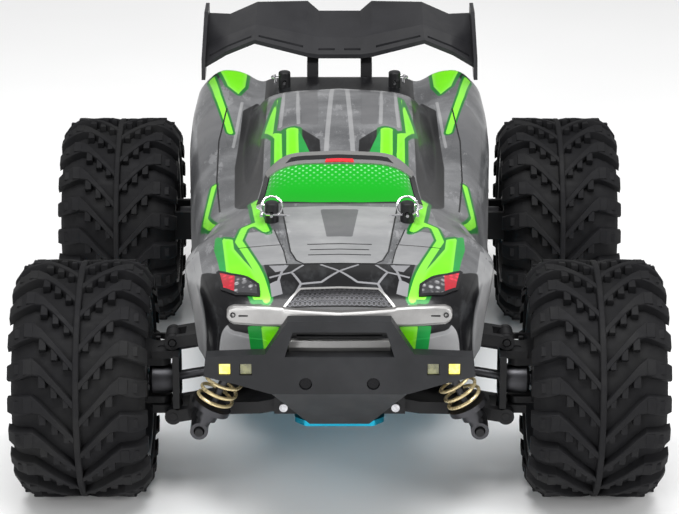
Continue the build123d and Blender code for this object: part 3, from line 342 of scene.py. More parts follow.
def tyre_mesh():
    """The tyre about its own centre: carcass with a middle rib, bars, teeth and shoulder blocks."""
    rib = [(-1.1, 42.4), (-0.7, 42.7), (0.7, 42.7), (1.1, 42.4)]
    ring = [(-a, r) for a, r in reversed(CARCASS)] + rib + CARCASS
    parts = [lathe(ring, 120, (0, 0, 0))]
    for side in (-1, 1):
        for k in range(BARS):
            start = 2 * math.pi * 42.0 / BARS * (k + (0.5 if side > 0 else 0))
            rings = []
            for across, around, half, top in BAR:
                base = carcass_radius(across) - 0.8
                rings.append([
                    on_tyre(side * across, start + around + w, r)
                    for w, r in ((-half - 0.7, base), (-half, top - 0.35), (-half + 0.4, top),
                                 (half - 0.4, top), (half, top - 0.35), (half + 0.5, base))
                ])
            parts.append(loft(rings))
            for across, half, length in TEETH:
                middle = across - 1.0
                rings = []
                for a in (across - half, across - half + 0.25, across + half - 0.25, across + half):
                    top = 42.5 if abs(a - across) < half - 0.1 else 42.2
                    rings.append([on_tyre(side * a, start + middle + t, r) for t, r in (
                        (-length - 0.3, carcass_radius(a) - 0.8), (-length, top), (0.4, top),
                        (0.4, carcass_radius(a) - 0.8))])
                parts.append(loft(rings))
            for across, half, top, low, high in WELT:
                rings = [[on_tyre(side * a, start + t, r) for t, r in (
                    (low, top - 2.5), (low + 0.3, top), ((low + high) / 2, top + 0.02),
                    (high - 0.3, top), (high, top - 2.5))] for a in (across - half, across + half)]
                parts.append(loft(rings))
    return join(parts)


def clamp_to_cad(verts):
    """Keeps tread corners inside the tyre's own cylinder."""
    kept = []
    for x, y, z in verts:
        r = math.hypot(y, z)
        s = min(1.0, (TYRE_RADIUS - 0.02) / r) if r else 1.0
        kept.append((max(-HALF_TYRE, min(HALF_TYRE, x)), y * s, z * s))
    return kept


def rim_mesh():
    """A deep-dish rim: rolled flanges, barrel, six bevelled spokes, hub and nut seat."""
    barrel = [(-22.4, 28.2), (-22.5, 30.1), (-22.1, 30.6), (-21.6, 30.3), (-21.25, 29.2), (-20.6, 28.9),
              (-17.6, 28.9), (-16.6, 28.0), (16.6, 28.0), (17.6, 28.9), (20.6, 28.9), (21.25, 29.2),
              (21.6, 30.3), (22.1, 30.6), (22.6, 30.2), (22.6, 28.8), (21.2, 27.7), (18.0, 26.4),
              (-6, 25.4), (-17.5, 26.2), (-21.2, 27.2)]
    parts = [lathe(barrel, 96, (0, 0, 0))]
    hub = [(-12.5, 3.0), (-12.5, 9.5), (-11.5, 10.2), (-8.6, 10.2), (-7.6, 9.4), (-7.2, 6.6), (-7.2, 3.0)]
    parts.append(lathe(hub, 48, (0, 0, 0)))
    spoke = [(8.6, 3.6, 3.0), (12, 2.5, 2.6), (19, 2.6, 2.8), (25.8, 4.6, 4.2)]  # radius, half width, half depth
    for k in range(6):
        turn = math.radians(60 * k + 30)
        c, s = math.cos(turn), math.sin(turn)
        rings = []
        for radius, half, depth in spoke:
            x = -10.0
            ring = []
            for w, d in ((-1, -0.6), (-0.7, -1), (0.7, -1), (1, -0.6), (1, 0.5), (0.55, 1), (-0.55, 1), (-1, 0.5)):
                y, z = radius, w * half
                ring.append((x + d * depth, y * c - z * s, y * s + z * c))
            rings.append(ring)
        parts.append(loft(rings))
    for k in range(12):
        turn = math.radians(30 * k)
        centre = (18.6, 27.5 * math.cos(turn), 27.5 * math.sin(turn))
        bolt = lathe([(0.2, 0.05), (0.2, 0.8), (2.9, 0.8), (3.3, 0.5), (3.3, 0.05)], 10, centre)
        parts.append(bolt)
    return join(parts)


def axle_mesh():
    """The stub axle, drive cup, hexagon and flanged wheel nut, about the wheel's centre."""
    shift = -WHEEL_X
    cup = [(59.2 + shift, 4.7), (59.0 + shift, 5.2), (59.4 + shift, 5.4), (67.6 + shift, 5.4),
           (68.5 + shift, 4.6), (68.5 + shift, 2.5), (84.6 + shift, 2.5), (91.6 + shift, 2.5),
           (92.0 + shift, 2.1), (92.0 + shift, 0.05), (67.5 + shift, 0.05), (67.5 + shift, 4.7)]
    parts = [lathe(cup, 40, (0, 0, 0))]
    hexagon = [(6.9 * math.cos(math.radians(60 * k)), 6.9 * math.sin(math.radians(60 * k))) for k in range(6)]
    parts.append(prism(hexagon, 75 + shift, 78.8 + shift, lambda a, b, c: (c, a, b)))
    nut = [(a * 0.66, b * 0.66) for a, b in hexagon]
    parts.append(prism(nut, 84.2 + shift, 87.6 + shift, lambda a, b, c: (c, a, b)))
    parts.append(lathe([(83.4 + shift, 2.6), (83.4 + shift, 6.1), (84.2 + shift, 5.9), (84.8 + shift, 4.4),
                        (84.8 + shift, 2.6)], 40, (0, 0, 0)))
    return join(parts)


TYRE, WHEEL, AXLE = tyre_mesh(), rim_mesh(), axle_mesh()
for axle, axle_y in AXLES.items():
    for side, sign in SIDES.items():
        corner = f"{axle}_{side}"

        def at_corner(verts):
            return [(sign * (WHEEL_X + x), axle_y + y, AXLE_Z + z) for x, y, z in verts]

        body = f"{corner}_wheel"
        piece(f"{corner}_tyre_tread", at_corner(clamp_to_cad(TYRE[0])), TYRE[1], body, "tyre", RUBBER,
              [f"{corner}_tyre"], bevel=0.12)
        piece(f"{corner}_wheel_rim", at_corner(WHEEL[0]), WHEEL[1], body, "rim", RIM,
              [f"{corner}_rim"], bevel=0.25)
        piece(f"{corner}_stub_axle", at_corner(AXLE[0]), AXLE[1], body, "steel", DARK_STEEL, bevel=0.2)


# ---- damper springs ---------------------------------------------------------------------------
DAMPER_TOP, DAMPER_FOOT, DAMPER_Y = (26.0, 80.0), (50.0, 31.0), -18.5
SPRING_FROM, SPRING_TO, SPRING_RADIUS, SPRING_WIRE, SPRING_TURNS = 10.2, 43.4, 6.2, 0.65, 8


def coil_points():
    """The spring's centreline along Z from 0: closed end turns and an even pitch between."""
    length = SPRING_TO - SPRING_FROM - 2 * SPRING_WIRE
    points = []
    steps = 28 * SPRING_TURNS
    for i in range(steps + 1):
        share = i / steps
        eased = share + 0.045 * math.sin(2 * math.pi * share) * -1
        turn = 2 * math.pi * SPRING_TURNS * share
        points.append((SPRING_RADIUS * math.cos(turn), SPRING_RADIUS * math.sin(turn),
                       SPRING_WIRE + length * eased))
    return points


for axle, axle_y in AXLES.items():
    for side, sign in SIDES.items():
        corner = f"{axle}_{side}"
        toward = 1 if axle == "front" else -1
        top = Vector((sign * DAMPER_TOP[0], axle_y + toward * DAMPER_Y, DAMPER_TOP[1]))
        foot = Vector((sign * DAMPER_FOOT[0], axle_y + toward * DAMPER_Y, DAMPER_FOOT[1]))
        along = (foot - top).normalized()
        across = Vector((0, 1, 0))
        turned = Matrix((across, along.cross(across), along)).transposed()
        verts, faces = tube(coil_points(), SPRING_WIRE, 8)
        seat = top + along * SPRING_FROM
        verts = [tuple(seat + turned @ Vector(v)) for v in verts]
        replaced = ["damper_springs"] if corner == "front_left" else []
        coil = piece(f"{corner}_coil_spring", verts, faces, f"{corner}_damper_body", "spring", SPRING, replaced)
        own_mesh(coil)


# ---- body shell -------------------------------------------------------------------------------
SHELL_STATIONS = {  # distance behind the front axle: half section from the roof's middle down
    -45: [(0, 84.5), (16, 84.5), (24, 84), (32, 83), (38, 81), (40.5, 76), (41, 62)],
    -38: [(0, 90), (16, 89.7), (26, 89), (34, 88), (42, 85), (45, 77), (45, 62)],
    -26: [(0, 94), (16, 93.6), (26, 93), (36, 91.5), (46, 87.5), (49, 78), (48, 62)],
    0: [(0, 95.6), (16, 95.2), (26, 94.6), (38, 93.4), (49, 89.5), (54.5, 82), (53, 62)],
    12: [(0, 96.4), (17, 96), (27, 95.4), (38, 94), (50, 89.8), (56, 83.5), (53, 62)],
    35: [(0, 97.6), (24, 97.3), (29, 96.6), (37, 93), (46, 88), (51, 80), (50.5, 42)],
    58: [(0, 106), (22, 105.2), (33, 93), (38, 89), (46, 86), (53, 78), (55.5, 42)],
    90: [(0, 112), (27, 110.4), (36, 91), (40, 90), (49, 89), (57, 80), (57.5, 42)],
    125: [(0, 113.6), (28, 112.2), (37, 92.5), (41, 93), (51, 95), (60, 84), (60, 42)],
    150: [(0, 108.6), (28, 107), (36, 97), (40, 98.5), (52, 100), (61, 89), (61, 42)],
    165: [(0, 101), (27.5, 101), (33, 97.4), (41, 101), (52, 102.6), (61, 92), (61, 42)],
    195: [(0, 101), (27.5, 101), (33, 98.4), (41, 103.6), (51, 104.4), (60, 95), (61, 42)],
}
SHELL_EDGE = [  # distance behind the front axle, height of the shell's lower edge
    (-45, 62), (-19, 62), (-14, 73), (-6, 76.5), (14, 78), (22, 82), (42, 82), (49, 74), (52, 52),
    (56, 42.5), (122, 42.5), (127, 52), (131, 72), (140, 81), (165, 84), (195, 85),
]
SHELL_SHEET = 1.1
NOSE_BOW, NOSE_HALF_WIDTH = 2.4, 41
NOSE_PH, NOSE_Y = -45, -140  # the nose from the front axle, and in the row frame
ROW_STEP, COLUMN_STEP = 1.15, 1.6
NOSE_RINGS, NOSE_CENTRE = 24, (0.0, 71.0)


def bow(x):
    """How far the nose curves back at a distance from the middle."""
    return NOSE_BOW * (x / NOSE_HALF_WIDTH) ** 2


def segment_distance(points, p, q):
    """The distance of each point to the segment from p to q."""
    d = q - p
    t = np.clip(((points - p) @ d) / max(d @ d, 1e-9), 0, 1)
    return np.linalg.norm(points - (p + t[:, None] * d), axis=1)


def smooth_table(keys, rows, at):
    """Monotone cubic interpolation of every column of rows, at the given keys."""
    k, r = np.array(keys, float), np.array(rows, float)
    gap = np.diff(k)
    slope = np.diff(r, axis=0) / gap[:, None]
    tangent = np.zeros_like(r)
    tangent[0], tangent[-1] = slope[0], slope[-1]
    same = slope[:-1] * slope[1:] > 0
    tangent[1:-1] = np.where(same, 2 * slope[:-1] * slope[1:] / np.where(same, slope[:-1] + slope[1:], 1), 0)
    i = np.clip(np.searchsorted(k, at) - 1, 0, len(k) - 2)
    t = ((at - k[i]) / gap[i])[:, None]
    h = gap[i][:, None]
    return ((2 * t**3 - 3 * t**2 + 1) * r[i] + (t**3 - 2 * t**2 + t) * h * tangent[i]
            + (-2 * t**3 + 3 * t**2) * r[i + 1] + (t**3 - t**2) * h * tangent[i + 1])


def trimmed(section, low):
    """A half section cut off at a height."""
    points = [tuple(p) for p in section]
    (x4, z4), (x5, z5), (x6, z6) = points[4:]
    if z5 < low + 0.8:
        share = (z4 - low - 0.8) / (z4 - z5)
        x5, z5 = x4 + (x5 - x4) * share, low + 0.8
    share = (z5 - low) / (z5 - z6) if z5 > z6 else 1
    return points[:5] + [(x5, z5), (x5 + (x6 - x5) * share, low)]


def rounded(points, times=3):
    """Corner cutting that keeps both ends and stays inside the outline."""
    for _ in range(times):
        cut = [points[0]]
        for (x, z), (u, w) in zip(points, points[1:]):
            cut += [(x * 0.78 + u * 0.22, z * 0.78 + w * 0.22), (x * 0.22 + u * 0.78, z * 0.22 + w * 0.78)]
        points = cut + [points[-1]]
    return points


def shell_grid():
    """Rows of points from the nose to the tail, each from the right lower edge over the roof."""
    halves = []
    stations = sorted(SHELL_STATIONS)
    at = np.arange(stations[0], stations[-1] + 0.01, ROW_STEP)
    rows = smooth_table(stations, [np.ravel(SHELL_STATIONS[s]) for s in stations], at)
    edge = np.interp(at, *zip(*SHELL_EDGE))
    for y, row, low in zip(at, rows, edge):
        halves.append(rounded(trimmed(row.reshape(-1, 2), low)))
    grid = []
    spans = np.linalg.norm(np.diff(np.array(halves), axis=1), axis=2).max(axis=0)
    parts = [max(1, math.ceil(span / COLUMN_STEP)) for span in spans]
    for y, half in zip(at, halves):
        fine = [half[0]]
        for (x, z), (u, w), count in zip(half, half[1:], parts):
            fine += [(x + (u - x) * k / count, z + (w - z) * k / count) for k in range(1, count + 1)]
        fade = max(0.0, 1 - (y + 45) / 26)
        line = [(-x, z) for x, z in reversed(fine)] + fine[1:]
        grid.append([(x, y + NOSE_BOW * fade * (x / NOSE_HALF_WIDTH) ** 2, z) for x, z in line])
    return grid


def shell_surface():
    """The shell's outer skin with its flat nose, in millimetres behind the front axle."""
    grid = shell_grid()
    n = len(grid[0])
    verts = [p for row in grid for p in row]
    faces = [[k * n + i, k * n + i + 1, (k + 1) * n + i + 1, (k + 1) * n + i]
             for k in range(len(grid) - 1) for i in range(n - 1)]
    # the flat nose: rings from the first row and the lower edge in to a centre point
    floor, (cx, cz) = SHELL_EDGE[0][1], NOSE_CENTRE
    outer = list(range(n))
    right, left = grid[0][-1][0], grid[0][0][0]
    for k in range(1, 40):
        x = right + (left - right) * k / 40
        outer.append(len(verts))
        verts.append((x, NOSE_PH + bow(x), floor))
    rim = [verts[i] for i in outer]
    count = len(outer)
    for level in range(1, NOSE_RINGS):
        share = 1 - level / NOSE_RINGS
        inner = []
        for px, _, pz in rim:
            x, z = cx + (px - cx) * share, cz + (pz - cz) * share
            inner.append(len(verts))
            verts.append((x, NOSE_PH + bow(x), z))
        faces += [[outer[i], inner[i], inner[(i + 1) % count], outer[(i + 1) % count]] for i in range(count)]
        outer = inner
    middle = len(verts)
    verts.append((cx, NOSE_PH, cz))
    faces += [[outer[i], middle, outer[(i + 1) % count]] for i in range(count)]
    return verts, faces


def inside_distance(points, outline):
    """Signed distance of each point (a, b) to a closed outline, positive inside."""
    a = np.array(outline, float)
    b = np.roll(a, -1, axis=0)
    best = np.full(len(points), 1e9)
    inside = np.zeros(len(points), bool)
    for p, q in zip(a, b):
        best = np.minimum(best, segment_distance(points, p, q))
        crosses = (p[1] > points[:, 1]) != (q[1] > points[:, 1])
        with np.errstate(divide="ignore", invalid="ignore"):
            at = (q[0] - p[0]) * (points[:, 1] - p[1]) / (q[1] - p[1]) + p[0]
        inside ^= crosses & (points[:, 0] < at)
    return np.where(inside, best, -best)


def stroke_distance(points, line, half_width):
    """Signed distance of each point to a band round an open line, positive inside."""
    best = np.full(len(points), 1e9)
    for p, q in zip(np.array(line[:-1], float), np.array(line[1:], float)):
        best = np.minimum(best, segment_distance(points, p, q))
    return half_width - best


# The printed film, with one painted highlight stroke along the front fenders. Top areas are (distance from the
# middle, distance behind the front axle).
TOP_AREAS = {
    "lime": [
        [(42.3, 11.3), (38.2, 6.9), (37.4, -2), (33.4, -14), (30.4, -22), (27.6, -32), (25.4, -39),
         (29.4, -38.6), (31.5, -33), (36.2, -25.5), (39.4, -21.5), (40.6, -8)],
        [(33.0, 47.5), (30.0, 42), (28.4, 25), (25.4, 9.0), (30.4, 19.0), (31.6, 30)],
        [(24.4, 127), (29.2, 97), (25, 84), (24.7, 64), (21.6, 64), (22.2, 85), (25.6, 89.5)],
        [(20.6, 88.3), (17.8, 88.8), (15.8, 86.8), (15.2, 62), (20, 62), (20.4, 86)],
        [(39.0, 196), (50.8, 196), (46.5, 174.6), (41.9, 167.2), (39.4, 178)],
    ],
    "green": [
        [(44.8, 15.8), (42.3, 11.3), (40.6, -8), (39.4, -21.5), (41.6, -19), (42.8, -10), (44.7, 2)],
        [(16, 86.8), (10.2, 62), (15.2, 62)],
    ],
    "glass": [[(-9, 36.6), (9, 36.6), (28.4, 38.2), (25.4, 62.5), (8, 59.5), (6, 57.4), (-6, 57.4)]],
    "silver": [
        [(-9, 34), (21, 32.6), (17.2, -8.7), (15, -17.5), (12.8, -20.3), (-9, -20.8)],
        [(36.5, 10.5), (23.5, 12), (19.6, -8), (18.2, -19.6), (27.4, -19.6), (32.4, -4)],
        [(50.5, 45), (44, 40), (50, 20), (53, 6), (57, 14)],
        [(57, 8), (52.4, 6), (50.2, -14), (48.4, -24), (45.2, -38), (43, -47), (46, -47), (52, -20)],
    ],
    "dark": [
        [(-9, 30.2), (7, 30.2), (4.6, 3.9), (-9, 3.9)],
        [(16.2, 147), (9, 147), (8.5, 90), (14.5, 92)],
        [(33, 40), (42, 38), (47, 20), (41, 16), (36, 20), (35, 30)],
        [(44.5, 120), (56, 112), (58, 150), (50, 158)],
    ],
    "black": [
        [(-9, -20.6), (12.8, -20.4), (26.4, -19.4), (24.6, -31), (23, -46), (-9, -46)],
        [(48.8, -11), (44, -17.5), (37, -23.2), (29.6, -29.5), (26.6, -38), (26, -46), (43.5, -46), (48.8, -20)],
        [(-9, 151), (31, 151), (31, 196), (-9, 196)],
        [(11, 62), (7.0, 62), (7.5, 76), (17, 90), (14, 66)],
        [(28.6, 36.0), (30.6, 46), (29.0, 62), (28.8, 152), (34, 164), (39.5, 152), (41.0, 100), (39.5, 58),
         (34, 40)],
        [(52, 196), (47.5, 196), (51.5, 183), (56, 190)],
    ],
}
TOP_STROKES = {
    "trace": [([(31.6, 45), (29.7, 27), (26.4, 11.5), (30.4, 19.2), (34.3, 16.4), (36.0, 4.5), (29.4, -20),
               (24.9, -39)], 1.35),
             ([(54, 190), (50.2, 163.6), (44.0, 133)], 1.25),
             ([(48.5, 86), (51.0, 64), (47.0, 44)], 1.0)],
    "silver": [([(21.7, 150), (22.9, 92)], 0.75), ([(17.6, 150), (15.8, 92)], 0.75),
               ([(2.5, 150), (5.2, 62)], 0.9), ([(40, 160), (42.4, 120)], 0.6),
               # painted highlight: this silver stroke along the front fender's outer edge
               ([(51.5, 8), (49.6, -10), (46.4, -26), (42.4, -40)], 1.0)],
    "line": [([(28.4, 37.4), (-9, 35.6)], 0.8), ([(28.4, 38.2), (25.4, 62.5)], 0.9)],
}
# Nose areas are (distance from the middle, height).
NOSE_AREAS = {
    "lime": [[(20.4, 80), (26.8, 80), (25.4, 66), (22.4, 66)]],
    "green": [[(26.8, 80), (31.4, 80), (29.8, 66), (25.4, 66)]],
    "black": [[(-9, 81.5), (20.4, 80.5), (22.4, 62), (-9, 62)],
              [(31.4, 85), (40, 85), (40, 82.6), (37, 78.2), (30.6, 77)],
              [(-9, 90), (37, 86), (37, 79), (-9, 79)]],
    "silver": [[(21, 62), (43, 62), (43, 84), (40.8, 82), (37.6, 77), (31, 75.6), (25.6, 75.2), (21, 72)]],
}
FILM_FIELDS = ("lime", "trace", "green", "glass", "silver", "dark", "black", "line")


def film_fields(verts):
    """The signed distance of every point to each kind of printed area, in millimetres; the silver kind also holds a
    painted highlight.
    """
    p = np.array(verts, float)
    top = np.stack([np.abs(p[:, 0]), p[:, 1]], 1)
    front = np.stack([np.abs(p[:, 0]), p[:, 2]], 1)
    on_nose = p[:, 1] < -44.9 + bow(p[:, 0])
    fields = {}
    for name in FILM_FIELDS:
        best = np.full(len(p), -50.0)
        for outline in TOP_AREAS.get(name, []):
            best = np.maximum(best, inside_distance(top, outline))
        for line, half in TOP_STROKES.get(name, []):
            best = np.maximum(best, stroke_distance(top, line, half))
        ahead = np.full(len(p), -50.0)
        for outline in NOSE_AREAS.get(name, []):
            ahead = np.maximum(ahead, inside_distance(front, outline))
        fields[name] = np.where(on_nose & (p[:, 2] < 84), ahead, best)
    return fields


def film_material():
    """The printed and lacquered body film, with painted light: lighter lower sides and a lighter front."""
    n = Nodes("body_film")
    split = n.node("ShaderNodeSeparateXYZ", 0, None, Vector=n.coords).node
    along, height = split.outputs["Y"], split.outputs["Z"]
    cloud = n.noise(26, 5, 0.6, (1, 1.6, 1))
    flake = n.noise(2300, 2, 0.6)
    scratch = n.noise(150, 6, 0.75, (1, 0.35, 1))
    grey = n.mix(n.span(cloud, 0.35, 0.68), (0.085, 0.087, 0.092), (0.21, 0.213, 0.22))
    grey = n.mix(n.span(scratch, 0.56, 0.6, 0, 0.35), grey, (0.36, 0.36, 0.37))
    grey = n.mix(n.span(flake, 0.55, 0.8, 0, 0.22), grey, (0.6, 0.6, 0.62))
    # painted light: the shell's lower sides are mixed towards a lighter grey
    grey = n.mix(n.span(height, 0.058, 0.08, 0.35, 0.0), grey, (0.42, 0.42, 0.43))
    # painted light: the front of the hood and the nose are mixed towards a lighter grey
    grey = n.mix(n.span(along, -0.115, -0.145, 0, 0.55), grey, (0.45, 0.45, 0.46))

    def inked(under, name, colour, soft=0.10, grow=0.0):
        share = n.span(n.field(name), -soft - grow, soft - grow)
        return n.mix(share, under, colour), share

    out, _ = inked(grey, "dark", n.mix(n.span(cloud, 0.3, 0.7), (0.05, 0.052, 0.056), (0.10, 0.10, 0.105)), 0.6)
    # silver print, and a painted highlight along the front fender edges
    out, _ = inked(out, "silver", n.mix(n.span(cloud, 0.3, 0.75), (0.24, 0.243, 0.25), (0.38, 0.38, 0.385)), 0.15)
    out, _ = inked(out, "dark", n.mix(n.span(cloud, 0.3, 0.7), (0.10, 0.102, 0.108), (0.15, 0.15, 0.155)), 0.12)
    out, _ = inked(out, "black", n.mix(n.span(scratch, 0.5, 0.66), (0.005, 0.005, 0.006),
                                       (0.022, 0.023, 0.025)), 0.2)
    out, _ = inked(out, "lime", (0.010, 0.17, 0.025), 0.25, 1.4)
    out, _ = inked(out, "trace", (0.010, 0.17, 0.025), 0.25, 0.9)
    out, _ = inked(out, "green", (0.012, 0.30, 0.05), 0.12)
    lime = n.mix(n.span(n.field("lime"), 0.3, 1.6), (0.22, 0.74, 0.05), (0.17, 0.76, 0.004))
    lime = n.mix(n.span(cloud, 0.4, 0.7, 0, 0.4), lime, (0.30, 0.90, 0.02))
    out, _ = inked(out, "lime", lime, 0.12)
    out, _ = inked(out, "trace", lime, 0.12)
    out, _ = inked(out, "green", n.mix(n.span(cloud, 0.3, 0.7), (0.008, 0.25, 0.03), (0.02, 0.36, 0.08)), 0.12)
    out, _ = inked(out, "line", (0.015, 0.015, 0.016), 0.10)
    # the windscreen: saturated green with light dots that fade downwards
    lean = n.node("ShaderNodeMapping", 0, None, Vector=n.coords, Rotation=(0, 0, math.radians(45)),
                  Scale=(520, 520, 0))
    cells = n.node("ShaderNodeTexVoronoi", 0, {"voronoi_dimensions": "2D"}, Vector=lean, Scale=1.0,
                   Randomness=0.0)
    fade = n.span(along, FRONT_AXLE_Y * MM + 0.045, FRONT_AXLE_Y * MM + 0.060)
    dot = n.math("MULTIPLY", n.span(cells, 0.27, 0.17), fade)
    screen = n.mix(n.span(along, FRONT_AXLE_Y * MM + 0.036, FRONT_AXLE_Y * MM + 0.055), (0.004, 0.33, 0.010),
                   (0.005, 0.38, 0.014))
    screen = n.mix(n.math("MULTIPLY", dot, 0.85), screen, (0.35, 0.85, 0.42))
    out, on_glass = inked(out, "glass", screen, 0.12)
    edges = n.math("ADD", n.span(n.field("silver"), -0.3, 0.3), n.span(n.field("line"), -0.3, 0.3, 0, -1.2))
    skin = n.bump(edges, 0.35, 0.35)
    skin = n.bump(n.noise(310, 2, 0.5), 0.05, 0.3, skin)
    rough = n.math("ADD", n.span(scratch, 0.4, 0.8, 0.30, 0.42), n.math("MULTIPLY", on_glass, -0.16))
    return n.finish(out, rough, 0.25, skin, Coat_Weight=0.18, Coat_Roughness=0.10, Specular_IOR_Level=0.25)


def lining_material():
    """The unprinted back of the film: dull dark paint with overspray."""
    n = Nodes("film_lining")
    mist = n.noise(90, 6, 0.7)
    colour = n.mix(n.span(mist, 0.4, 0.7), (0.03, 0.031, 0.033), (0.075, 0.077, 0.08))
    return n.finish(colour, n.span(mist, 0.3, 0.7, 0.55, 0.75), 0.0, n.bump(n.noise(700, 3, 0.6), 0.15, 0.1))


FILM, LINING = film_material(), lining_material()
skin_verts, skin_faces = shell_surface()
shell_fields = film_fields(skin_verts)
skin = [(x, y + FRONT_AXLE_Y, z) for x, y, z in skin_verts]
shell = piece("body_shell_film", skin, skin_faces, "body_shell", "shell", FILM, ["body_shell"])
shell.data.materials.append(LINING)
for name, values in shell_fields.items():
    field = shell.data.attributes.new(name, "FLOAT", "POINT")
    field.data.foreach_set("value", values.astype(np.float32))
outward = sum(face.normal.z * face.area for face in shell.data.polygons)
if outward < 0:
    shell.data.flip_normals()
sheet = shell.modifiers.new("sheet", "SOLIDIFY")
sheet.thickness = SHELL_SHEET * MM
sheet.offset = -1
sheet.material_offset = 1
sheet.use_even_offset = True


# ---- raised parts of the film: ribs, panels, nose bar, grille and lamps ---------------------------
skin_tree = BVHTree.FromPolygons([Vector(v) for v in skin], skin_faces)


def drop(x, y, lift):
    """The point above the shell at (x, distance behind the front axle), lifted off its surface."""
    place, normal, _, _ = skin_tree.ray_cast(Vector((x, y + FRONT_AXLE_Y, 200)), Vector((0, 0, -1)))
    normal = normal if normal.z > 0 else -normal
    return tuple(place + normal * lift)


def dense(line, step=1.0):
    """The same line with points no more than a step apart."""
    out = [line[0]]
    for (a, b), (c, d) in zip(line, line[1:]):
        count = max(1, math.ceil(math.hypot(c - a, d - b) / step))
        out += [(a + (c - a) * k / count, b + (d - b) * k / count) for k in range(1, count + 1)]
    return out


def ribbon(line, half, lift, sink=-0.3):
    """A flat rib that follows the shell along a line of (x, distance behind the axle)."""
    points = [Vector(p) for p in dense(line)]
    rings = []
    for i, p in enumerate(points):
        along = (points[min(i + 1, len(points) - 1)] - points[max(i - 1, 0)]).normalized()
        side = Vector((along.y, -along.x)) * half
        rings.append([drop(*(p + side), sink), drop(*(p + side), lift), drop(*(p - side), lift),
                      drop(*(p - side), sink)])
    return loft(rings)


def panel(outline, lift, sink=-0.3, step=0.9):
    """A raised plate over the shell inside an outline whose every row is one span."""
    ys = [y for _, y in outline]
    closed = list(zip(outline, outline[1:] + outline[:1]))
    count = max(2, math.ceil((max(ys) - min(ys)) / step))
    rows = []
    for k in range(count + 1):
        y = min(ys) + 1e-3 + (max(ys) - min(ys) - 2e-3) * k / count
        xs = [a + (c - a) * (y - b) / (d - b) for (a, b), (c, d) in closed if (b > y) != (d > y)]
        rows.append((min(xs), max(xs), y))
    across = max(2, math.ceil(max(b - a for a, b, _ in rows) / step))
    verts, faces = [], []
    for height in (lift, sink):
        for low, high, y in rows:
            verts += [drop(low + (high - low) * i / across, y, height) for i in range(across + 1)]
    n, m = across + 1, len(rows)
    at = lambda layer, row, i: layer * n * m + row * n + i
    for row in range(m - 1):
        for i in range(across):
            faces.append([at(0, row, i), at(0, row, i + 1), at(0, row + 1, i + 1), at(0, row + 1, i)])
            faces.append([at(1, row, i), at(1, row + 1, i), at(1, row + 1, i + 1), at(1, row, i + 1)])
        for i in (0, across):
            faces.append([at(0, row, i), at(0, row + 1, i), at(1, row + 1, i), at(1, row, i)])
    for row in (0, m - 1):
        for i in range(across):
            faces.append([at(0, row, i), at(0, row, i + 1), at(1, row, i + 1), at(1, row, i)])
    return verts, faces


def both_sides(build, line, *sizes):
    """A part and its mirror image."""
    return [build(line, *sizes), build([(-x, y) for x, y in line][::-1], *sizes)]


GREY_INK = moulded("printed_grey_rib", (0.19, 0.19, 0.20), 0.35, 0.2, 0.1)
BLACK_INK = moulded("printed_black_line", (0.012, 0.012, 0.013), 0.35, 0.2, 0.05)
BRIGHT = metal("brushed_silver_trim", (0.34, 0.335, 0.33), 0.34, (7, 1, 1), 0.75, 0.25)
web = []
for line in ([(6.6, -21.5), (0, -27), (6.2, -33), (13.2, -33.6), (16.6, -27), (12.6, -21.5)],
             [(16.6, -27), (24.2, -29.5)], [(18.8, -21), (21.6, -34)], [(13.2, -33.6), (15.6, -39)]):
    web += both_sides(ribbon, line, 0.42, 0.12)
piece("hood_web_ribs", *join(web), "body_shell", "shell", GREY_INK)
facets = [part for outline in (
    [(17.6, -21.2), (24.6, -20.6), (22.2, -26.2), (19.2, -25.5)],
    [(20.6, -31), (24.0, -32.4), (23.2, -38.5), (19.4, -38)]) for part in both_sides(panel, outline, 0.1)]
piece("hood_web_facets", *join(facets), "body_shell", "shell", GREY_INK)
louvres = [ribbon([(-reach, y), (reach, y)], 0.24, 0.1) for y, reach in ((-2.8, 11.4), (-7.8, 10.4), (-12.6, 11.0))]
louvres += both_sides(ribbon, [(21.2, 32.8), (17.3, -8.7), (15.1, -17.2), (12.6, -20.2), (0, -20.6)], 0.26, 0.1)
louvres += both_sides(ribbon, [(20.0, -2.2), (36.0, -2.2)], 0.16, 0.08)
louvres += both_sides(ribbon, [(23.4, 11.5), (19.7, -7.8), (18.4, -19.4)], 0.2, 0.08)
louvres += both_sides(ribbon, [(45.2, 60), (47.6, 90), (48.2, 124), (46.0, 152)], 0.28, 0.08)
piece("hood_louvre_lines", *join(louvres), "body_shell", "shell", BLACK_INK)

# silver bar across the nose: (distance from the middle, lower edge, upper edge, forward reach)
NOSE_BAR = [(0, 80.2, 85.9, 2.6), (10, 80.3, 86.4, 2.5), (18.6, 81.0, 86.9, 2.4), (19.6, 80.6, 87.3, 1.9),
            (25.3, 80.4, 87.5, 1.8), (36.0, 80.8, 87.4, 1.6), (37.8, 81.6, 86.6, 1.3), (38.5, 82.6, 85.6, 0.9)]
rings = []
for x, low, high, reach in [(-x, *rest) for x, *rest in NOSE_BAR[:0:-1]] + NOSE_BAR:
    nose = NOSE_Y + bow(x)
    rings.append([(x, nose + 0.6, low + 0.4), (x, nose - reach + 0.7, low), (x, nose - reach, low + 0.9),
                  (x, nose - reach + 0.2, (low + high) / 2 + 0.6), (x, nose - reach + 0.5, high - 0.8),
                  (x, nose - reach + 1.2, high), (x, nose + 1.6, high - 0.2)])
piece("nose_bar", *loft(rings), "body_shell", "shell", BRIGHT, bevel=0.15)
marks = []
for sign in SIDES.values():
    face = NOSE_Y - 1.62 + bow(33.2)
    marks.append(prism([(sign * 31.2, 84.0), (sign * 34.4, 83.9), (sign * 34.4, 84.4), (sign * 31.2, 84.5)],
                       face - 0.05, face + 0.7, lambda a, b, c: (a, c, b)))
    marks.append(lathe([(face - 0.03, 0.6), (face - 0.03, 0.9), (face + 0.6, 0.9), (face + 0.6, 0.6)], 16,
                       (sign * 36.4, 0.12, 84.4), axis="y"))
piece("nose_bar_marks", *join(marks), "body_shell", "shell", BLACK_INK)

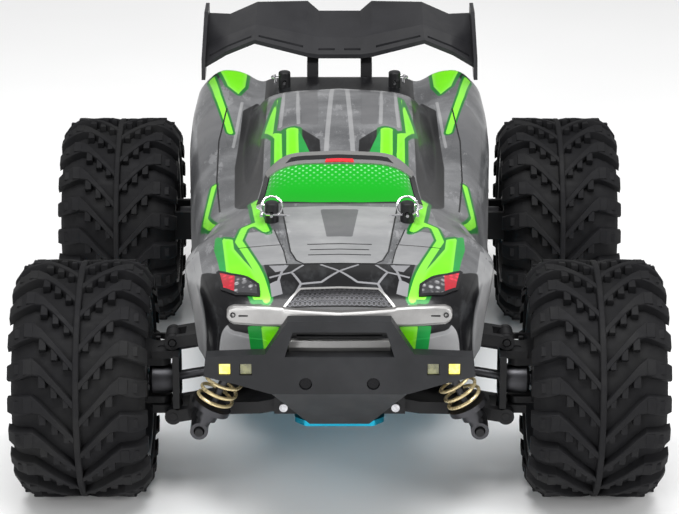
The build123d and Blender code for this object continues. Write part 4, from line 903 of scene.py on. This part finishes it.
# the front clips' bent loops, standing round their posts
loops = []
for sign in SIDES.values():
    centre = Vector((sign * 24.5, -75.4, 101.9))
    across, up = Vector((1, 0, 0)), Vector((0, 0.62, 0.785))
    turns = [math.radians(-60 + 300 * k / 30) for k in range(31)]
    line = [tuple(centre + across * 3.75 * math.cos(t) + up * 3.75 * math.sin(t)) for t in turns]
    foot = centre + across * sign * -4.4 - up * 3.4
    loops.append(tube([*line, tuple(foot), tuple(foot - across * sign * 2.2)], 0.42, 8))
piece("front_clip_loops", *join(loops), "body_shell", "clip", CHROME)

# lower lip and louvre seen through the bumper's hoop
lip = []
for x in (-17.4, -16.6, -9, 0, 9, 16.6, 17.4):
    nose = NOSE_Y + bow(x)
    drop_end = 0.6 if abs(x) > 17 else 0.0
    lip.append([(x, nose + 0.6, 71.4), (x, nose - 1.5, 71.8), (x, nose - 1.9, 73.2),
                (x, nose - 1.2, 75.4 - drop_end),
                (x, nose + 0.6, 76.0 - drop_end)])
piece("nose_lip", *loft(lip), "body_shell", "shell", BRIGHT, bevel=0.12)
slats = [prism([(-140.9, z), (-139.6, z + 0.5), (-139.6, z - 0.2), (-140.9, z - 0.6)], -14.6, 14.6,
               lambda a, b, c: (c, a, b)) for z in (77.0, 78.4, 79.8)]
piece("nose_louvre", *join(slats), "body_shell", "shell", BLACK_INK)

# honeycomb above the bar
piece("grille_panel", *panel([(-18.5, -42.4), (18.5, -42.4), (13.2, -36.6), (-13.2, -36.6)], 0.3),
      "body_shell", "shell", BLACK_INK)
cells = []
for row in range(4):
    y = -41.6 + 1.45 * row
    reach = 17.4 - 5.2 * row / 4
    for k in range(-11, 12):
        x = 1.68 * (k + 0.5 * (row % 2))
        if abs(x) > reach:
            continue
        hexagon = [(x + 0.86 * math.cos(math.radians(60 * i + 30)), y + 0.8 * math.sin(math.radians(60 * i + 30)))
                   for i in range(6)]
        inside = [(x + (u - x) * 0.7, y + (v - y) * 0.7) for u, v in hexagon]
        verts = [drop(u, v, h) for h in (0.2, 0.55) for u, v in hexagon]
        verts += [drop(u, v, h) for h in (0.55, 0.2) for u, v in inside]
        faces = [[6 * r + i, 6 * r + (i + 1) % 6, (6 * r + 6 + (i + 1) % 6) % 24, (6 * r + 6 + i) % 24]
                 for r in range(4) for i in range(6)]
        cells.append((verts, faces))
piece("grille_honeycomb", *join(cells), "body_shell", "shell", DARK_STEEL)
piece("grille_frame", *join(both_sides(ribbon, [(0, -36.2), (13.4, -36.4), (19.0, -42.6)], 0.4, 0.7)),
      "body_shell", "shell", BRIGHT)


def headlight_material():
    """Headlamps: a red outer lens and a clear inner one over dark reflector cells."""
    n = Nodes("headlight_lens")
    split = n.node("ShaderNodeSeparateXYZ", 0, None, Vector=n.coords).node
    outer = n.span(n.math("ABSOLUTE", split.outputs["X"]), 0.0361, 0.0365)
    cells = n.node("ShaderNodeTexVoronoi", 0, None, Vector=n.coords, Scale=420.0, Randomness=0.35)
    cloud = n.noise(240, 3, 0.6, (1, 2.5, 1))
    clear = n.mix(n.span(cells, 0.2, 0.5), (0.34, 0.34, 0.35), (0.03, 0.03, 0.034))
    clear = n.mix(n.span(cloud, 0.45, 0.62, 0, 0.7), clear, (0.02, 0.02, 0.022))
    red = n.mix(n.span(cells, 0.1, 0.5), (0.70, 0.006, 0.04), (0.34, 0.002, 0.012))
    return n.finish(n.mix(outer, clear, red), n.span(cloud, 0.3, 0.7, 0.08, 0.2), 0.0,
                    n.bump(cells, 0.3, 0.15), Coat_Weight=0.9, Coat_Roughness=0.04)


LAMP = [(42.4, -18.3), (40.4, -30.3), (35.2, -35.2), (27.5, -37.5), (28.0, -32.8), (32.2, -28.0), (37.4, -23.8)]
piece("headlight_lenses", *join(both_sides(panel, LAMP, 0.55)), "body_shell", "lens", headlight_material())
piece("headlight_frames", *join(both_sides(ribbon, LAMP + LAMP[:1], 0.5, 0.62)), "body_shell", "shell",
      BLACK_INK)

# bar over the windscreen with its central red lens
SCREEN_BAR = [(-26.6, 57.8), (26.6, 57.8), (27.6, 63.4), (20, 66.0), (-20, 66.0), (-27.6, 63.4)]
piece("windscreen_bar", *panel(SCREEN_BAR, 0.6), "body_shell", "shell", BRIGHT)
piece("windscreen_bar_recess", *panel([(-20, 60.2), (20, 60.2), (18, 63.2), (-18, 63.2)], 0.68), "body_shell",
      "shell", BLACK_INK)
red = metal("red_lens", (0.7, 0.02, 0.03), 0.2, (1, 1, 1), 0.1, 0.2)
piece("windscreen_bar_lens", *panel([(-5.4, 57.9), (5.4, 57.9), (5.0, 60.0), (-5.0, 60.0)], 0.95), "body_shell",
      "lens", red)
pillars = both_sides(ribbon, [(29.6, 39.0), (27.0, 62.0)], 1.1, 0.25)
piece("windscreen_pillars", *join(pillars), "body_shell", "shell", BLACK_INK)


# ---- lamps and bright trim --------------------------------------------------------------------
def led_material():
    """Lamp lenses: a bright yellow outer pair and an unlit olive inner pair, ribbed inside."""
    n = Nodes("lamp_lens")
    split = n.node("ShaderNodeSeparateXYZ", 0, None, Vector=n.coords).node
    outer = n.span(n.math("ABSOLUTE", split.outputs["X"]), 0.0350, 0.0358)
    ribs = n.node("ShaderNodeTexWave", 1, {"bands_direction": "Z"}, Vector=n.coords, Scale=330.0,
                  Distortion=0.6, Detail=1.0)
    cloud = n.span(n.noise(420, 3, 0.6), 0.35, 0.65)
    dull = n.mix(cloud, (0.10, 0.10, 0.045), (0.20, 0.20, 0.09))
    bright = n.mix(cloud, (0.95, 0.80, 0.10), (1.0, 0.93, 0.30))
    colour = n.mix(outer, dull, bright)
    skin = n.bump(ribs, 0.25, 0.12)
    glow = n.mix(outer, (0.0, 0.0, 0.0), (0.55, 0.46, 0.04))
    return n.finish(colour, n.span(cloud, 0, 1, 0.10, 0.2), 0.0, skin, Coat_Weight=0.8, Coat_Roughness=0.05,
                    Emission_Color=glow, Emission_Strength=0.6)


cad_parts["lamp_lenses"].data.materials[0] = led_material()


def screw_material():
    """Steel pins and screws; the bumper's own screws are blackened."""
    n = Nodes("screw_steel")
    split = n.node("ShaderNodeSeparateXYZ", 0, None, Vector=n.coords).node
    black = n.span(split.outputs["Y"], -0.147, -0.1465, 1, 0)
    marks = n.noise(900, 3, 0.6, (1, 6, 1))
    steel = n.mix(n.span(marks, 0.35, 0.7), (0.42, 0.42, 0.44), (0.62, 0.62, 0.64))
    colour = n.mix(black, steel, (0.012, 0.012, 0.013))
    return n.finish(colour, n.span(marks, 0.3, 0.7, 0.24, 0.36), 0.9, n.bump(marks, 0.15, 0.06))


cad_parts["hinge_pins_and_screws"].data.materials[0] = screw_material()


# ---- floor, light and camera --------------------------------------------------------------------
def floor_material():
    """A pale studio floor with a trace of paper grain."""
    n = Nodes("studio_floor")
    cloud = n.noise(3, 3, 0.5)
    colour = n.mix(n.span(cloud, 0.3, 0.7), (0.86, 0.86, 0.86), (0.90, 0.90, 0.90))
    return n.finish(colour, n.span(cloud, 0.3, 0.7, 0.55, 0.62), 0.0, n.bump(n.noise(900, 2, 0.5), 0.05, 0.1))


FLOOR_HALF = 9.0
floor_mesh = bpy.data.meshes.new("studio_floor")
floor_mesh.from_pydata([(x * FLOOR_HALF, y * FLOOR_HALF, 0.0) for x, y in ((-1, -1), (1, -1), (1, 1), (-1, 1))], [],
                       [[0, 1, 2, 3]])
floor_mesh.materials.append(floor_material())
floor_object = bpy.data.objects.new("studio_floor", floor_mesh)
bpy.context.scene.collection.objects.link(floor_object)


def area_light(name, place, aim, size, watts, colour=(1, 1, 1)):
    """A square soft light aimed at a point."""
    light = bpy.data.lights.new(name, "AREA")
    light.shape = "RECTANGLE"
    light.size, light.size_y = size
    light.energy = watts
    light.color = colour
    made = bpy.data.objects.new(name, light)
    bpy.context.scene.collection.objects.link(made)
    made.location = place
    made.rotation_euler = (Vector(aim) - Vector(place)).to_track_quat("-Z", "Y").to_euler()
    return made


area_light("top_softbox", (0.0, -0.42, 1.25), (0, -0.02, 0.05), (1.0, 0.6), 19)
area_light("front_softbox", (-0.75, -1.35, 0.55), (0, 0, 0.05), (0.7, 0.5), 9)
area_light("right_softbox", (1.0, -0.75, 0.5), (0, 0, 0.06), (0.5, 0.7), 7)
world = bpy.data.worlds.new("studio_world")
world.use_nodes = True
world.node_tree.nodes["Background"].inputs["Color"].default_value = (1.0, 1.0, 1.0, 1.0)
world.node_tree.nodes["Background"].inputs["Strength"].default_value = 0.46
bpy.context.scene.world = world
bpy.context.scene.view_settings.view_transform = "Standard"

camera = bpy.data.cameras.new("photo_camera")
camera.lens, camera.sensor_width = 140.2, 36.0
camera.clip_start, camera.clip_end = 0.05, 20.0
eye = bpy.data.objects.new("photo_camera", camera)
bpy.context.scene.collection.objects.link(eye)
eye.location = (0.0, -0.9813, 0.4064)
eye.rotation_euler = (Vector((0, -0.006, 0.0576)) - eye.location).to_track_quat("-Z", "Y").to_euler()
bpy.context.scene.camera = eye
